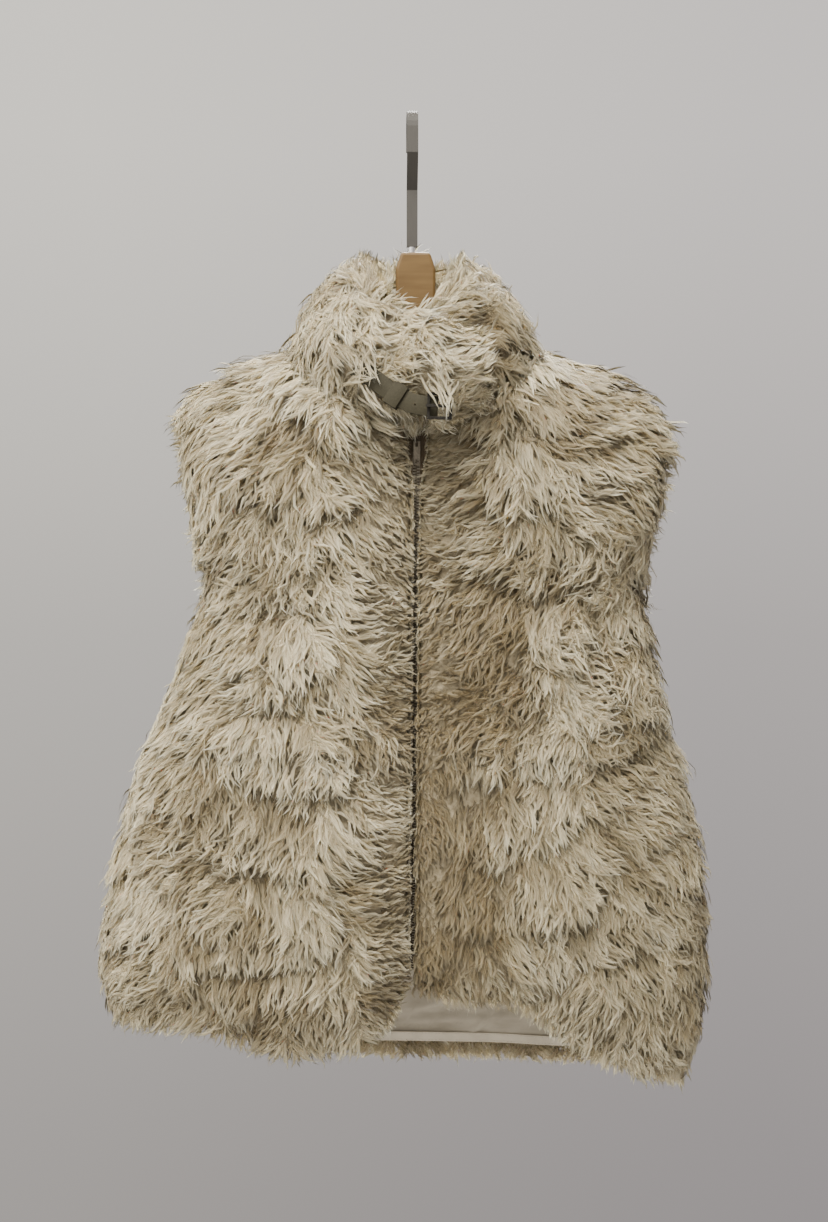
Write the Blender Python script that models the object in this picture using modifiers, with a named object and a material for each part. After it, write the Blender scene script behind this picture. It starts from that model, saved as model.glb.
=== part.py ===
"""Reversible shearling vest hanging on a wooden hanger.

Metres, +Z up, +X to the viewer's right, +Y away from the viewer.
The origin is where the hook rests on a rail.
Each wool panel is a thick wall: its inside is the suede skin and its outside is the reach of the wool.
"""

import math
from collections import namedtuple

import bmesh
import bpy
import numpy as np

# Main sizes
SEAM_GAP = 0.0003          # between pieces that are sewn together
WOOL_LENGTH = 0.022        # how far the wool stands off the skin
ZIP_WOOL_LENGTH = 0.011    # shorter wool along the zip
ZIP_WOOL_RISE = 0.034      # distance from the zip over which the wool gets its full length
HEM_FAN = math.radians(72)  # wool at a free edge leans out over it by this angle
HEM_FAN_REACH = 0.050      # distance from a free edge over which the lean dies away
SHOULDER_LEAN = 0.36       # sideways lean of the wool on the shoulder seam
SHOULDER_TIP_LEAN = 0.50   # what is added to that lean at the shoulder tip
SHOULDER_TIP_POWER = 8     # how close to the tip the added lean begins
DEEPEST_FURROW = 0.5       # share of the wool that a furrow may take away
TINY = 1e-9

# Body of the vest
UNDERARM_HEIGHT = -0.400
SHOULDER_TIP_HEIGHT = -0.247
NECK_POINT_HEIGHT = -0.2115
NECK_HALF_WIDTH = 0.092
FRONT_NECK_HEIGHT = -0.256
BACK_NECK_HEIGHT = -0.220
SHOULDER_TIP_SPAN = 0.186   # the distance along X over which the shoulder line drops to its tip
SHOULDER_ROLL = 0.060       # height below the shoulder line where front and back reach full depth
SIDE_ROUNDNESS = 2.4        # exponent of the flattened oval sections
FRONT_ARMHOLE_DEPTH = 0.036
BACK_ARMHOLE_DEPTH = 0.030
ARMHOLE_ROUNDNESS = 0.8     # exponent of the armhole edge, round below 1

# Half widths and depths of the skin at each height
Section = namedtuple("Section", "z left right front back")
SECTIONS = (
    Section(-0.920, 0.281, 0.266, 0.052, 0.043),
    Section(-0.860, 0.282, 0.267, 0.055, 0.045),
    Section(-0.780, 0.282, 0.267, 0.059, 0.049),
    Section(-0.700, 0.268, 0.262, 0.064, 0.052),
    Section(-0.620, 0.249, 0.246, 0.064, 0.052),
    Section(-0.540, 0.219, 0.222, 0.061, 0.049),
    Section(-0.460, 0.184, 0.201, 0.057, 0.046),
    Section(-0.400, 0.167, 0.188, 0.055, 0.044),
    Section(-0.350, 0.170, 0.194, 0.056, 0.042),
    Section(-0.300, 0.178, 0.205, 0.057, 0.042),
    Section(-0.247, 0.186, 0.208, 0.054, 0.041),
    Section(-0.190, 0.186, 0.208, 0.052, 0.038),
)

# Height of the skin's hem, from the centre (share 0) to the side seam (share 1)
Hem = namedtuple("Hem", "share front_left front_right back_left back_right")
HEMS = (
    Hem(0.00, -0.754, -0.760, -0.892, -0.892),
    Hem(0.10, -0.785, -0.761, -0.891, -0.893),
    Hem(0.22, -0.803, -0.763, -0.888, -0.894),
    Hem(0.36, -0.811, -0.767, -0.880, -0.895),
    Hem(0.50, -0.806, -0.797, -0.868, -0.897),
    Hem(0.63, -0.794, -0.824, -0.853, -0.897),
    Hem(0.80, -0.793, -0.851, -0.830, -0.892),
    Hem(1.00, -0.798, -0.879, -0.798, -0.879),
)

# Large folds of skin and wool together: a positive depth stands out, a negative one sinks in.
# Long sideways shapes run along X before they are turned.
FOLD_SPREAD = 0.6           # share of its length over which a fold or furrow dies away
Fold = namedtuple("Fold", "panel x z length width turn depth")
FOLDS = (
    Fold("front_left", -0.045, -0.640, 0.160, 0.034, 90, 0.008),
    Fold("front_left", -0.110, -0.775, 0.100, 0.040, 0, 0.008),
    Fold("front_left", -0.185, -0.640, 0.110, 0.030, 60, -0.006),
    Fold("front_right", 0.052, -0.610, 0.170, 0.032, 90, -0.015),
    Fold("front_right", 0.118, -0.680, 0.120, 0.030, 84, 0.007),
    Fold("front_right", 0.165, -0.300, 0.050, 0.020, 20, -0.006),
    Fold("front_right", 0.205, -0.760, 0.090, 0.036, 75, 0.008),
    Fold("back", -0.120, -0.720, 0.140, 0.036, 80, -0.009),
    Fold("back", 0.020, -0.640, 0.160, 0.040, 92, 0.008),
    Fold("back", 0.140, -0.740, 0.130, 0.034, 98, -0.009),
    Fold("back", -0.060, -0.400, 0.090, 0.028, 12, -0.006),
)

# Furrows where the wool parts: only the outer side dips.
Furrow = namedtuple("Furrow", "panel x z length width turn depth")
FURROWS = (
    Furrow("front_left", -0.110, -0.427, 0.075, 0.014, 4, 0.008),
    Furrow("front_left", -0.120, -0.511, 0.085, 0.014, -4, 0.009),
    Furrow("front_left", -0.090, -0.583, 0.080, 0.015, 6, 0.008),
    Furrow("front_left", -0.150, -0.655, 0.095, 0.015, -6, 0.009),
    Furrow("front_left", -0.140, -0.748, 0.100, 0.014, 8, 0.008),
    Furrow("front_left", -0.060, -0.345, 0.060, 0.014, 20, 0.006),
    Furrow("front_right", 0.185, -0.276, 0.040, 0.012, 10, 0.008),
    Furrow("front_right", 0.175, -0.318, 0.045, 0.012, 6, 0.008),
    Furrow("front_right", 0.138, -0.352, 0.032, 0.012, -45, 0.008),
    Furrow("front_right", 0.095, -0.490, 0.055, 0.014, -62, 0.008),
    Furrow("front_right", 0.190, -0.560, 0.060, 0.014, 14, 0.007),
    Furrow("front_right", 0.088, -0.690, 0.100, 0.014, 88, 0.009),
    Furrow("front_right", 0.190, -0.745, 0.055, 0.014, 8, 0.008),
    Furrow("front_right", 0.060, -0.400, 0.050, 0.013, -20, 0.006),
    Furrow("back", -0.100, -0.345, 0.080, 0.014, 6, 0.007),
    Furrow("back", 0.090, -0.430, 0.090, 0.014, -8, 0.008),
    Furrow("back", -0.080, -0.530, 0.100, 0.015, 5, 0.008),
    Furrow("back", 0.120, -0.610, 0.090, 0.015, -6, 0.008),
    Furrow("back", -0.140, -0.660, 0.090, 0.015, 9, 0.008),
    Furrow("back", 0.030, -0.750, 0.120, 0.015, -4, 0.009),
    Furrow("back", -0.090, -0.820, 0.090, 0.014, 6, 0.008),
)

# Grid of the panels
NECK_SHARES = (0.0, 0.24, 0.47, 0.67, 0.83, 0.93, 0.98, 1.0)
SHOULDER_COLUMNS = 8
GATHER_START = 0.74         # row above which the columns gather to the neck
PANEL_ROWS = np.concatenate((np.linspace(0.0, 0.90, 22), (0.932, 0.958, 0.978, 0.991, 1.0)))

# Collar: the top edge by the angle round the neck, 0 at the front and 180 at the back
CollarTop = namedtuple("CollarTop", "angle x y z")
COLLAR_TOPS = (
    CollarTop(0, 0.000, -0.070, -0.204),
    CollarTop(25, 0.020, -0.066, -0.184),
    CollarTop(50, 0.036, -0.050, -0.160),
    CollarTop(75, 0.046, -0.024, -0.146),
    CollarTop(95, 0.049, -0.002, -0.142),
    CollarTop(125, 0.042, 0.016, -0.140),
    CollarTop(155, 0.022, 0.025, -0.138),
    CollarTop(180, 0.000, 0.028, -0.137),
)
COLLAR_ROWS = 8
SEAM_BLEND = 0.046           # distance from the neck seam over which wool turns to the seam's lean
SEAM_HOLD = 1.6              # over 1, the first rows keep the seam's lean
COLLAR_BULGE = 0.007
LEFT_ROLL = 0.014            # the left collar rolls forward before it crosses over
LEFT_ROLL_REACH = 0.070
LEFT_ROLL_STRENGTH = 1.4     # over 1, the roll is full for a while before it dies away
COLLAR_FAN = math.radians(60)
COLLAR_FAN_REACH = 0.034
UNDERLAP_WOOL = 0.008        # wool pressed flat under the overlap
UNDERLAP_REACH = 0.060
UNDERLAP_STRENGTH = 1.6
NECK_LEAN_SIDEWAYS = 0.55    # lean of the wool on the neck seam at the neck point
NECK_LEAN_UP = 0.85
NECK_FRONT_DEPTH = 0.052     # depths of the neck seam that give the angle round the neck
NECK_BACK_DEPTH = 0.038
UPRIGHT_REACH = 0.020        # round the centre front the collar's wool stands straight out
UPRIGHT_STRENGTH = 2.0
FRONT_SEAM_REACH = 0.030     # round the centre front the seam is wider, because it twists
FRONT_SEAM_GAPS = 8.0
BELOW_COLLAR = np.array([0.0, -0.02, -0.30])  # the collar's outside faces away from here

# Overlap of the left collar across the centre front, from the sewn edge to its free end
Overlap = namedtuple("Overlap", "x y low high fan")
OVERLAPS = (
    Overlap(0.0072, -0.0790, -0.2520, -0.2025, 0.0),
    Overlap(0.015, -0.0835, -0.2480, -0.2020, 0.7),
    Overlap(0.025, -0.0845, -0.2430, -0.2040, 1.0),
    Overlap(0.036, -0.0830, -0.2370, -0.2080, 1.0),
)
OVERLAP_TILT = 0.008         # the top of the overlap leans this far forward
OVERLAP_END_FAN = 1.3        # wool at its free end leans out sideways
OVERLAP_START_LEAN = np.array([0.0, -0.99, 0.12])

# Zip
ZIP_TOP = -0.262
ZIP_TOP_X = 0.002
ZIP_BOTTOM = -0.752
ZIP_BOTTOM_X = -0.003
ZIP_OPENING = 0.006         # from the zip's middle to a skin edge
ZIP_LEAN = 0.0032           # wool along the zip leans this far over the opening
SLIDER_CENTRE = -0.279
SLIDER_ROOM = 0.0055        # extra opening beside slider and tab
SLIDER_ROOM_REACH = 0.032
TAPE_WIDTH = 0.012
ZIP_SET_BACK = 0.0012       # the zip lies this far behind the skin's edges
TAPE_THICKNESS = 0.0008
CHAIN_WIDTH = 0.0056
CHAIN_THICKNESS = 0.0022
SLIDER_SIZE = (0.0095, 0.0058, 0.0130)
SLIDER_ROUNDING = 0.0012
TAB_SIZE = (0.0062, 0.0014, 0.0200)
TAB_ROUNDING = 0.0004
TAB_HINGE_HEIGHT = -0.2770
ZIP_STEPS = 22

# Throat strap, laid on the collar's wool
STRAP_WIDTH = 0.0150
STRAP_THICKNESS = 0.0020
STRAP_STAND_OFF = 0.0036
STRAP_PATCH = (0.007, 0.011)  # half width and half height of wool that the strap has to clear
KEEPER_LENGTH = 0.0125
KEEPER_THICKNESS = 0.0016
KEEPER_PLAY = (0.0007, 0.0012)  # room round the strap across its width and its thickness
STRAP_STEPS = 19
STRAP_SAMPLES = 25          # places where the wool behind the strap is looked up
WOOL_SAMPLES = 5            # points looked at along each side of a cell of wool
STRAP_CURVE_DEGREE = 4
Strap = namedtuple("Strap", "x z")
STRAP_LINE = (
    Strap(-0.048, -0.2205),
    Strap(-0.034, -0.2300),
    Strap(-0.020, -0.2405),
    Strap(-0.007, -0.2485),
    Strap(0.006, -0.2520),
    Strap(0.016, -0.2525),
)
STRAP_KEEPER_AT = -0.0175
BUCKLE_CENTRE_X = 0.0175
BUCKLE_SIZE = (0.0170, 0.0180)
BUCKLE_WIRE = 0.0022
BUCKLE_LIFT = 0.0009
PRONG_TIP_SHARE = 0.62      # reach of the prong either way, as shares of the buckle's length
PRONG_ROOT_SHARE = 0.58

# Hem facing inside the back
FACING_WIDTH = 0.010
FACING_THICKNESS = 0.0015

# Hanger and hook
HANGER_HALF_THICKNESS = 0.006
HANGER_CENTRE_X = 0.003
HANGER_SPAN = 0.172
HANGER_CLEARANCE = 0.0035
HANGER_ARM_DEPTH = 0.030
HANGER_TIP_DEPTH = 0.022
HEAD_TOP = -0.112
HEAD_TOP_HALF_WIDTH = 0.0125
HEAD_HALF_WIDTH = 0.0175
HEAD_BASE = -0.168
HEAD_SLOPE = 0.014
HEAD_EDGE_ROUND = 0.0025
ROUNDED_ANGLE = math.radians(60)
ARM_START = 0.020           # from the side of the head to where an arm leaves the shoulder line
ARM_STEPS = 12
TIP_SLANT = 0.002
MIDDLE_RISE = 0.001         # the lower edge is this much higher in the middle
HOOK_WIDTH = 0.0095
HOOK_THICKNESS = 0.0030
RAIL_RADIUS = 0.0125
HOOK_PLAY = 0.0010
HOOK_TIP_HEIGHT = -0.024
HOOK_FRONT_STRAIGHT = -0.034
HOOK_KINK_HEIGHT = -0.060
HOOK_BOTTOM = -0.1070
HOOK_ARC_STEP = 15          # degrees
PIN_RADIUS = 0.0026
PIN_SIDES = 20

# Materials
Look = namedtuple("Look", "colour roughness metallic")
CREAM_WOOL = Look((0.72, 0.66, 0.55, 1.0), 0.90, 0.0)
CREAM_LEATHER = Look((0.76, 0.71, 0.60, 1.0), 0.70, 0.0)
OLIVE_LEATHER = Look((0.47, 0.43, 0.30, 1.0), 0.60, 0.0)
TAPE_CLOTH = Look((0.42, 0.38, 0.31, 1.0), 0.80, 0.0)
DARK_METAL = Look((0.16, 0.14, 0.12, 1.0), 0.35, 1.0)
OLD_BRASS = Look((0.30, 0.26, 0.20, 1.0), 0.40, 1.0)
STEEL = Look((0.55, 0.54, 0.52, 1.0), 0.30, 1.0)
BEECH = Look((0.60, 0.42, 0.25, 1.0), 0.50, 0.0)
SHARP_ANGLE = math.radians(50)

LEFT, RIGHT = -1, 1
FRONT, BACK = -1, 1


# Curves and small vector helpers

def smooth(rows, key, column, at):
    """Reads one column of a table at a place on its key column, on a smooth curve."""
    keys = np.array([getattr(row, key) for row in rows])
    values = np.array([getattr(row, column) for row in rows])
    slopes = np.gradient(values, keys)
    at = min(max(at, keys[0]), keys[-1])
    step = min(int(np.searchsorted(keys, at, side="right")) - 1, len(keys) - 2)
    span = keys[step + 1] - keys[step]
    part = (at - keys[step]) / span
    start_weight = (1 + 2 * part) * (1 - part) ** 2
    end_weight = part ** 2 * (3 - 2 * part)
    start_slope = part * (1 - part) ** 2 * span * slopes[step]
    end_slope = part ** 2 * (part - 1) * span * slopes[step + 1]
    return values[step] * start_weight + values[step + 1] * end_weight + start_slope + end_slope


def unit(vector):
    return vector / max(np.linalg.norm(vector), TINY)


def fade(distance, reach):
    """1 at distance 0, falling softly to 0 at the reach."""
    return max(0.0, 1.0 - distance / reach) ** 2


def ridge(shape, x, z):
    """Weight of a fold or furrow at a place: 1 on its line, 0 away from it."""
    turn = math.radians(shape.turn)
    along = (x - shape.x) * math.cos(turn) + (z - shape.z) * math.sin(turn)
    across = (z - shape.z) * math.cos(turn) - (x - shape.x) * math.sin(turn)
    return math.exp(-(along / (FOLD_SPREAD * shape.length)) ** 2 - (across / shape.width) ** 2)


# Form of the skin

def half_width(side, z):
    return smooth(SECTIONS, "z", "left" if side == LEFT else "right", z)


def shoulder_height(x):
    slope = (SHOULDER_TIP_HEIGHT - NECK_POINT_HEIGHT) / (SHOULDER_TIP_SPAN - NECK_HALF_WIDTH)
    return NECK_POINT_HEIGHT + slope * (abs(x) - NECK_HALF_WIDTH)


def armhole_depth(face, z):
    """Depth of the armhole edge: 0 at the underarm and at the shoulder tip."""
    part = (z - UNDERARM_HEIGHT) / (SHOULDER_TIP_HEIGHT - UNDERARM_HEIGHT)
    if part <= 0.0 or part >= 1.0:
        return 0.0
    depth = FRONT_ARMHOLE_DEPTH if face == FRONT else BACK_ARMHOLE_DEPTH
    return depth * math.sin(math.pi * part) ** ARMHOLE_ROUNDNESS


def skin_depth(panel, face, side, x, z):
    """How far the skin stands in front of, or behind, the hanger's plane."""
    share = min(abs(x) / half_width(side, z), 1.0)
    crown = (1.0 - share ** SIDE_ROUNDNESS) ** (1.0 / SIDE_ROUNDNESS)
    middle = smooth(SECTIONS, "z", "front" if face == FRONT else "back", z)
    fall = min(max((shoulder_height(x) - z) / SHOULDER_ROLL, 0.0), 1.0)
    roll = math.sqrt(1.0 - (1.0 - fall) ** 2)
    edge = armhole_depth(face, z)
    fold = sum(shape.depth * ridge(shape, x, z) for shape in FOLDS if shape.panel == panel)
    return (edge + (middle - edge + fold) * crown) * roll


def wool_length(panel, x, z):
    dip = sum(shape.depth * ridge(shape, x, z) for shape in FURROWS if shape.panel == panel)
    return WOOL_LENGTH - min(dip, DEEPEST_FURROW * WOOL_LENGTH)


def zip_middle(z):
    part = (z - ZIP_TOP) / (ZIP_BOTTOM - ZIP_TOP)
    return ZIP_TOP_X + (ZIP_BOTTOM_X - ZIP_TOP_X) * part


def zip_opening(z):
    room = SLIDER_ROOM * max(0.0, 1.0 - ((z - SLIDER_CENTRE) / SLIDER_ROOM_REACH) ** 2)
    return ZIP_OPENING + room


def neck_height(face, x):
    low = FRONT_NECK_HEIGHT if face == FRONT else BACK_NECK_HEIGHT
    part = min(abs(x) / NECK_HALF_WIDTH, 1.0)
    return NECK_POINT_HEIGHT + (low - NECK_POINT_HEIGHT) * math.sqrt(1.0 - part ** 2)


def neck_share(side):
    return NECK_HALF_WIDTH / half_width(side, NECK_POINT_HEIGHT)


def column_shares(side):
    """Shares of the half width for each column: even ones for the body and ones that meet the neck."""
    at_neck = neck_share(side)
    seam = [part * at_neck for part in NECK_SHARES]
    turns = [math.sin(0.5 * math.pi * k / SHOULDER_COLUMNS) for k in range(1, SHOULDER_COLUMNS + 1)]
    seam += [at_neck + (1.0 - at_neck) * turn for turn in turns]
    even = [math.sin(0.5 * math.pi * k / (len(seam) - 1)) for k in range(len(seam))]
    return list(zip(even, seam))


def share_at(shares, row):
    """Share of a column on one row: even on the body, gathered to the neck near the top."""
    even, seam = shares
    part = min(max((row - GATHER_START) / (1.0 - GATHER_START), 0.0), 1.0)
    return even + (seam - even) * part ** 2 * (3.0 - 2.0 * part)


def column_top(face, side, share):
    """Height where a column of the grid ends: on the neck curve or on the shoulder line."""
    if share <= neck_share(side) + TINY:
        return neck_height(face, share * half_width(side, NECK_POINT_HEIGHT))
    return shoulder_height(share * SHOULDER_TIP_SPAN)


def neck_lean(face, x):
    """Direction of the wool at the neck seam, shared by a panel and the collar."""
    part = min(abs(x) / NECK_HALF_WIDTH, 1.0)
    level = math.sqrt(1.0 - part ** 2)
    sideways = NECK_LEAN_SIDEWAYS * math.copysign(part, x)
    return unit(np.array([sideways, face * level, NECK_LEAN_UP * part]))


# Meshes

def new_object(name, vertices, faces, look):
    mesh = bpy.data.meshes.new(name)
    mesh.from_pydata([tuple(v) for v in vertices], [], faces)
    obj = bpy.data.objects.new(name, mesh)
    finish(obj, look)
    return obj


def finish(obj, look):
    """Points the faces out, shades the piece smooth and gives it a material of its own."""
    shape = bmesh.new()
    shape.from_mesh(obj.data)
    bmesh.ops.recalc_face_normals(shape, faces=shape.faces)
    shape.to_mesh(obj.data)
    shape.free()
    obj.data.shade_smooth()
    obj.data.set_sharp_from_angle(angle=SHARP_ANGLE)
    material = bpy.data.materials.new(obj.name)
    material.use_nodes = True
    shader = material.node_tree.nodes["Principled BSDF"]
    shader.inputs["Base Color"].default_value = look.colour
    shader.inputs["Roughness"].default_value = look.roughness
    shader.inputs["Metallic"].default_value = look.metallic
    obj.data.materials.append(material)
    for holder in list(obj.users_collection):
        holder.objects.unlink(obj)
    vest.objects.link(obj)


def wall(name, inner, outer, look):
    """Closed wall between two grids of points with the same rows and columns."""
    rows, columns = inner.shape[:2]
    count = rows * columns
    vertices = np.concatenate((inner.reshape(count, 3), outer.reshape(count, 3)))
    faces = []
    for row in range(rows - 1):
        for column in range(columns - 1):
            corner = row * columns + column
            ring = (corner, corner + 1, corner + columns + 1, corner + columns)
            faces.append(ring)
            faces.append(tuple(count + index for index in reversed(ring)))
    edge = list(range(columns))
    edge += [row * columns + columns - 1 for row in range(1, rows)]
    edge += [(rows - 1) * columns + column for column in range(columns - 2, -1, -1)]
    edge += [row * columns for row in range(rows - 2, 0, -1)]
    for here, there in zip(edge, edge[1:] + edge[:1]):
        # Both sides of a twisted seam are split alike, from the skin point that is further out.
        if abs(vertices[here][0]) >= abs(vertices[there][0]):
            faces += [(here, there, count + there), (here, count + there, count + here)]
        else:
            faces += [(here, there, count + here), (there, count + there, count + here)]
    new_object(name, vertices, faces, look)


def grid_normals(points, outward):
    """Unit normals of a grid, on the side that the outward directions give."""
    along = np.gradient(points, axis=0)
    across = np.gradient(points, axis=1)
    normals = np.cross(along, across)
    normals /= np.maximum(np.linalg.norm(normals, axis=2, keepdims=True), TINY)
    turned = np.sum(normals * outward, axis=2) < 0.0
    normals[turned] *= -1.0
    return normals


def ribbon(name, middle, across, out, width, thickness, look):
    """Flat band along a line of points, with its own width and thickness directions."""
    vertices = []
    for place, side, front in zip(middle, across, out):
        for step_across, step_out in ((-0.5, -0.5), (0.5, -0.5), (0.5, 0.5), (-0.5, 0.5)):
            vertices.append(place + side * width * step_across + front * thickness * step_out)
    faces = [(0, 1, 2, 3)]
    last = 4 * (len(middle) - 1)
    faces.append((last, last + 1, last + 2, last + 3))
    for step in range(len(middle) - 1):
        for k in range(4):
            near = 4 * step + k
            turn = 4 * step + (k + 1) % 4
            faces.append((near, turn, turn + 4, near + 4))
    new_object(name, vertices, faces, look)


# Panels

def panel_columns(face, side):
    """Columns of one half panel: its shares of the half width and its hem and top heights."""
    word = ("front_" if face == FRONT else "back_") + ("left" if side == LEFT else "right")
    columns = []
    for shares in column_shares(side):
        even, seam = shares
        columns.append((shares, smooth(HEMS, "share", word, even), column_top(face, side, seam)))
    return columns


def panel_point(panel, face, side, share, height):
    """Skin point of a panel; the seam gap keeps it off its neighbour."""
    x = side * share * half_width(side, height)
    if face == FRONT and share == 0.0:
        x = zip_middle(height) + side * zip_opening(height)
    depth = skin_depth(panel, face, side, x, height)
    return np.array([x, face * max(depth, 0.5 * SEAM_GAP), height])


def wool_direction(normal, face, side, share, row, point, hem, top):
    """Direction in which the wool stands: off the skin, along a seam, or out over a free edge."""
    lean = normal.copy()
    if share == 1.0:
        lean = np.array([side, 0.0, 0.0])
    if share <= neck_share(side) + TINY:
        near = min(1.0, SEAM_HOLD * fade(top - point[2], SEAM_BLEND))
        lean = unit(lean * (1.0 - near) + neck_lean(face, point[0]) * near)
    elif row == 1.0:
        sideways = SHOULDER_LEAN + SHOULDER_TIP_LEAN * share ** SHOULDER_TIP_POWER
        lean = unit(np.array([side * sideways, 0.0, 1.0]))
    fan = HEM_FAN * fade(point[2] - hem, HEM_FAN_REACH)
    return unit(lean * math.cos(fan) + np.array([0.0, 0.0, -1.0]) * math.sin(fan))


def half_panel(panel, face, side):
    """Skin and wool grids of one front, or of one half of the back."""
    columns = panel_columns(face, side)
    skin = np.zeros((len(PANEL_ROWS), len(columns), 3))
    for r, row in enumerate(PANEL_ROWS):
        for c, (shares, hem, top) in enumerate(columns):
            share = share_at(shares, row)
            skin[r, c] = panel_point(panel, face, side, share, hem + row * (top - hem))
    return columns, skin


def stand_wool(panel, face, sides, columns, skin):
    """Outer grid of a panel: every skin point moved out by the length of its wool."""
    outward = np.zeros_like(skin)
    outward[:, :, 1] = face
    outward[:, :, 0] = skin[:, :, 0]
    normals = grid_normals(skin, outward)
    wool = np.zeros_like(skin)
    for r, row in enumerate(PANEL_ROWS):
        for c, (shares, hem, top) in enumerate(columns):
            point = skin[r, c]
            lean = wool_direction(normals[r, c], face, sides[c], shares[1], row, point, hem, top)
            length = wool_length(panel, point[0], point[2])
            if face == FRONT:
                rise = fade(abs(point[0] - zip_middle(point[2])) - zip_opening(point[2]), ZIP_WOOL_RISE)
                length += (ZIP_WOOL_LENGTH - length) * rise
            wool[r, c] = point + lean * length
            if face == FRONT and shares[1] == 0.0:
                wool[r, c, 0] = point[0] - sides[c] * ZIP_LEAN
    return wool


def open_neck_seam(skin, wool, columns):
    """Moves a panel's neck edge off the seam and returns the seam's points for the collar."""
    columns = list(columns)
    points = skin[-1, columns].copy()
    tips = wool[-1, columns].copy()
    edges = np.gradient(points, axis=0)
    seam = []
    for c, point, tip, edge in zip(columns, points, tips, edges):
        into = unit(np.cross(edge, tip - point))
        if np.dot(into, (point[0], point[1], -NECK_HALF_WIDTH)) < 0.0:
            into = -into
        skin[-1, c] = point + into * 0.5 * SEAM_GAP
        wool[-1, c] = tip + into * 0.5 * SEAM_GAP
        seam.append((point, tip, into))
    return seam


def build_front(name, side):
    columns, skin = half_panel(name, FRONT, side)
    wool = stand_wool(name, FRONT, [side] * len(columns), columns, skin)
    seam = open_neck_seam(skin, wool, range(len(NECK_SHARES)))
    wall(name, skin, wool, CREAM_WOOL)
    return seam


def build_back():
    left_columns, left_skin = half_panel("back", BACK, LEFT)
    right_columns, right_skin = half_panel("back", BACK, RIGHT)
    skin = np.concatenate((left_skin[:, :0:-1], right_skin), axis=1)
    columns = left_columns[:0:-1] + right_columns
    sides = [LEFT] * (len(left_columns) - 1) + [RIGHT] * len(right_columns)
    wool = stand_wool("back", BACK, sides, columns, skin)
    centre = len(left_columns) - 1
    reach = len(NECK_SHARES) - 1
    seam = open_neck_seam(skin, wool, range(centre - reach, centre + reach + 1))
    wall("back", skin, wool, CREAM_WOOL)
    return seam, skin


def build_back_hem_facing(skin):
    """Band inside the back hem, on the lowest points of the skin moved inwards."""
    lower, second = skin[0, 1:-1], skin[1, 1:-1]
    rise = second - lower
    share = np.minimum(FACING_WIDTH / np.linalg.norm(rise, axis=1, keepdims=True), 1.0)
    band = np.stack((lower, lower + rise * share))
    outward = np.zeros((2, skin.shape[1], 3))
    outward[:, :, 1] = BACK
    inward = -grid_normals(skin[:2], outward)[:, 1:-1]
    inside = band + inward * (SEAM_GAP + FACING_THICKNESS)
    wall("back_hem_facing", inside, band + inward * SEAM_GAP, CREAM_LEATHER)


# Collar

def collar_top(side, angle):
    x, y, z = (smooth(COLLAR_TOPS, "angle", column, angle) for column in "xyz")
    return np.array([side * x, y, z])


def neck_angle(point):
    """Angle of a neck point round the neck: 0 at the front, 180 at the back."""
    depth = point[1] / (NECK_FRONT_DEPTH if point[1] < 0.0 else NECK_BACK_DEPTH)
    return math.degrees(math.atan2(abs(point[0]) / NECK_HALF_WIDTH, -depth))


def collar_column(side, base, lean, shift):
    """Skin of one upright row of the collar, from the neck seam to the top edge."""
    top = collar_top(side, neck_angle(base))
    rolled = side == LEFT and base[1] < 0.0
    share = min(1.0, LEFT_ROLL_STRENGTH * fade(abs(base[0]), LEFT_ROLL_REACH))
    roll = LEFT_ROLL * share if rolled else 0.0
    skin = []
    for k in range(COLLAR_ROWS):
        part = k / (COLLAR_ROWS - 1)
        bulge = (COLLAR_BULGE + roll) * math.sin(math.pi * part)
        skin.append(base + (top - base) * part + lean * bulge)
    return np.array(skin) + shift


def collar_wool(skin, seam_lean, seam_lengths, wool_lengths, fan_low, side_fan):
    """Outer grid of a collar half; the first row keeps to the neck seam where it is sewn."""
    normals = grid_normals(skin, skin - BELOW_COLLAR)
    wool = np.zeros_like(skin)
    columns = skin.shape[1]
    for c in range(columns):
        top, base = skin[-1, c], skin[0, c]
        rise = unit(top - base)
        for r in range(COLLAR_ROWS):
            fan_up = COLLAR_FAN * fade(np.linalg.norm(top - skin[r, c]), COLLAR_FAN_REACH)
            fan_down = COLLAR_FAN * fade(np.linalg.norm(skin[r, c] - base), COLLAR_FAN_REACH) * fan_low[c]
            lean = normals[r, c] + rise * (math.tan(fan_up) - math.tan(fan_down))
            lean = unit(unit(lean) + side_fan[c])
            if seam_lean[c] is not None:
                near = min(1.0, SEAM_HOLD * fade(np.linalg.norm(skin[r, c] - base), SEAM_BLEND))
                upright = seam_lean[c] * (1.0 if r == 0 else upright_share(base))
                lean = unit(lean * (1.0 - near) + upright * near)
            length = seam_lengths[c] if r == 0 else wool_lengths[c]
            wool[r, c] = skin[r, c] + lean * length
    return wool


def upright_share(base):
    """Share of the seam's sideways lean that the rows above it keep: none at the centre front."""
    at_front = fade(abs(base[0]), UPRIGHT_REACH) * (base[1] < 0.0)
    return np.array([1.0 - min(1.0, UPRIGHT_STRENGTH * at_front), 1.0, 1.0])


def collar_edges(front_edge, back_edges, side):
    """Neck seam points of one collar half, from the centre back round to the centre front."""
    reach = len(NECK_SHARES) - 1
    back = [back_edges[reach + side * k] for k in range(0, reach)]
    return back + [front_edge[k] for k in range(reach, -1, -1)]


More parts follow.
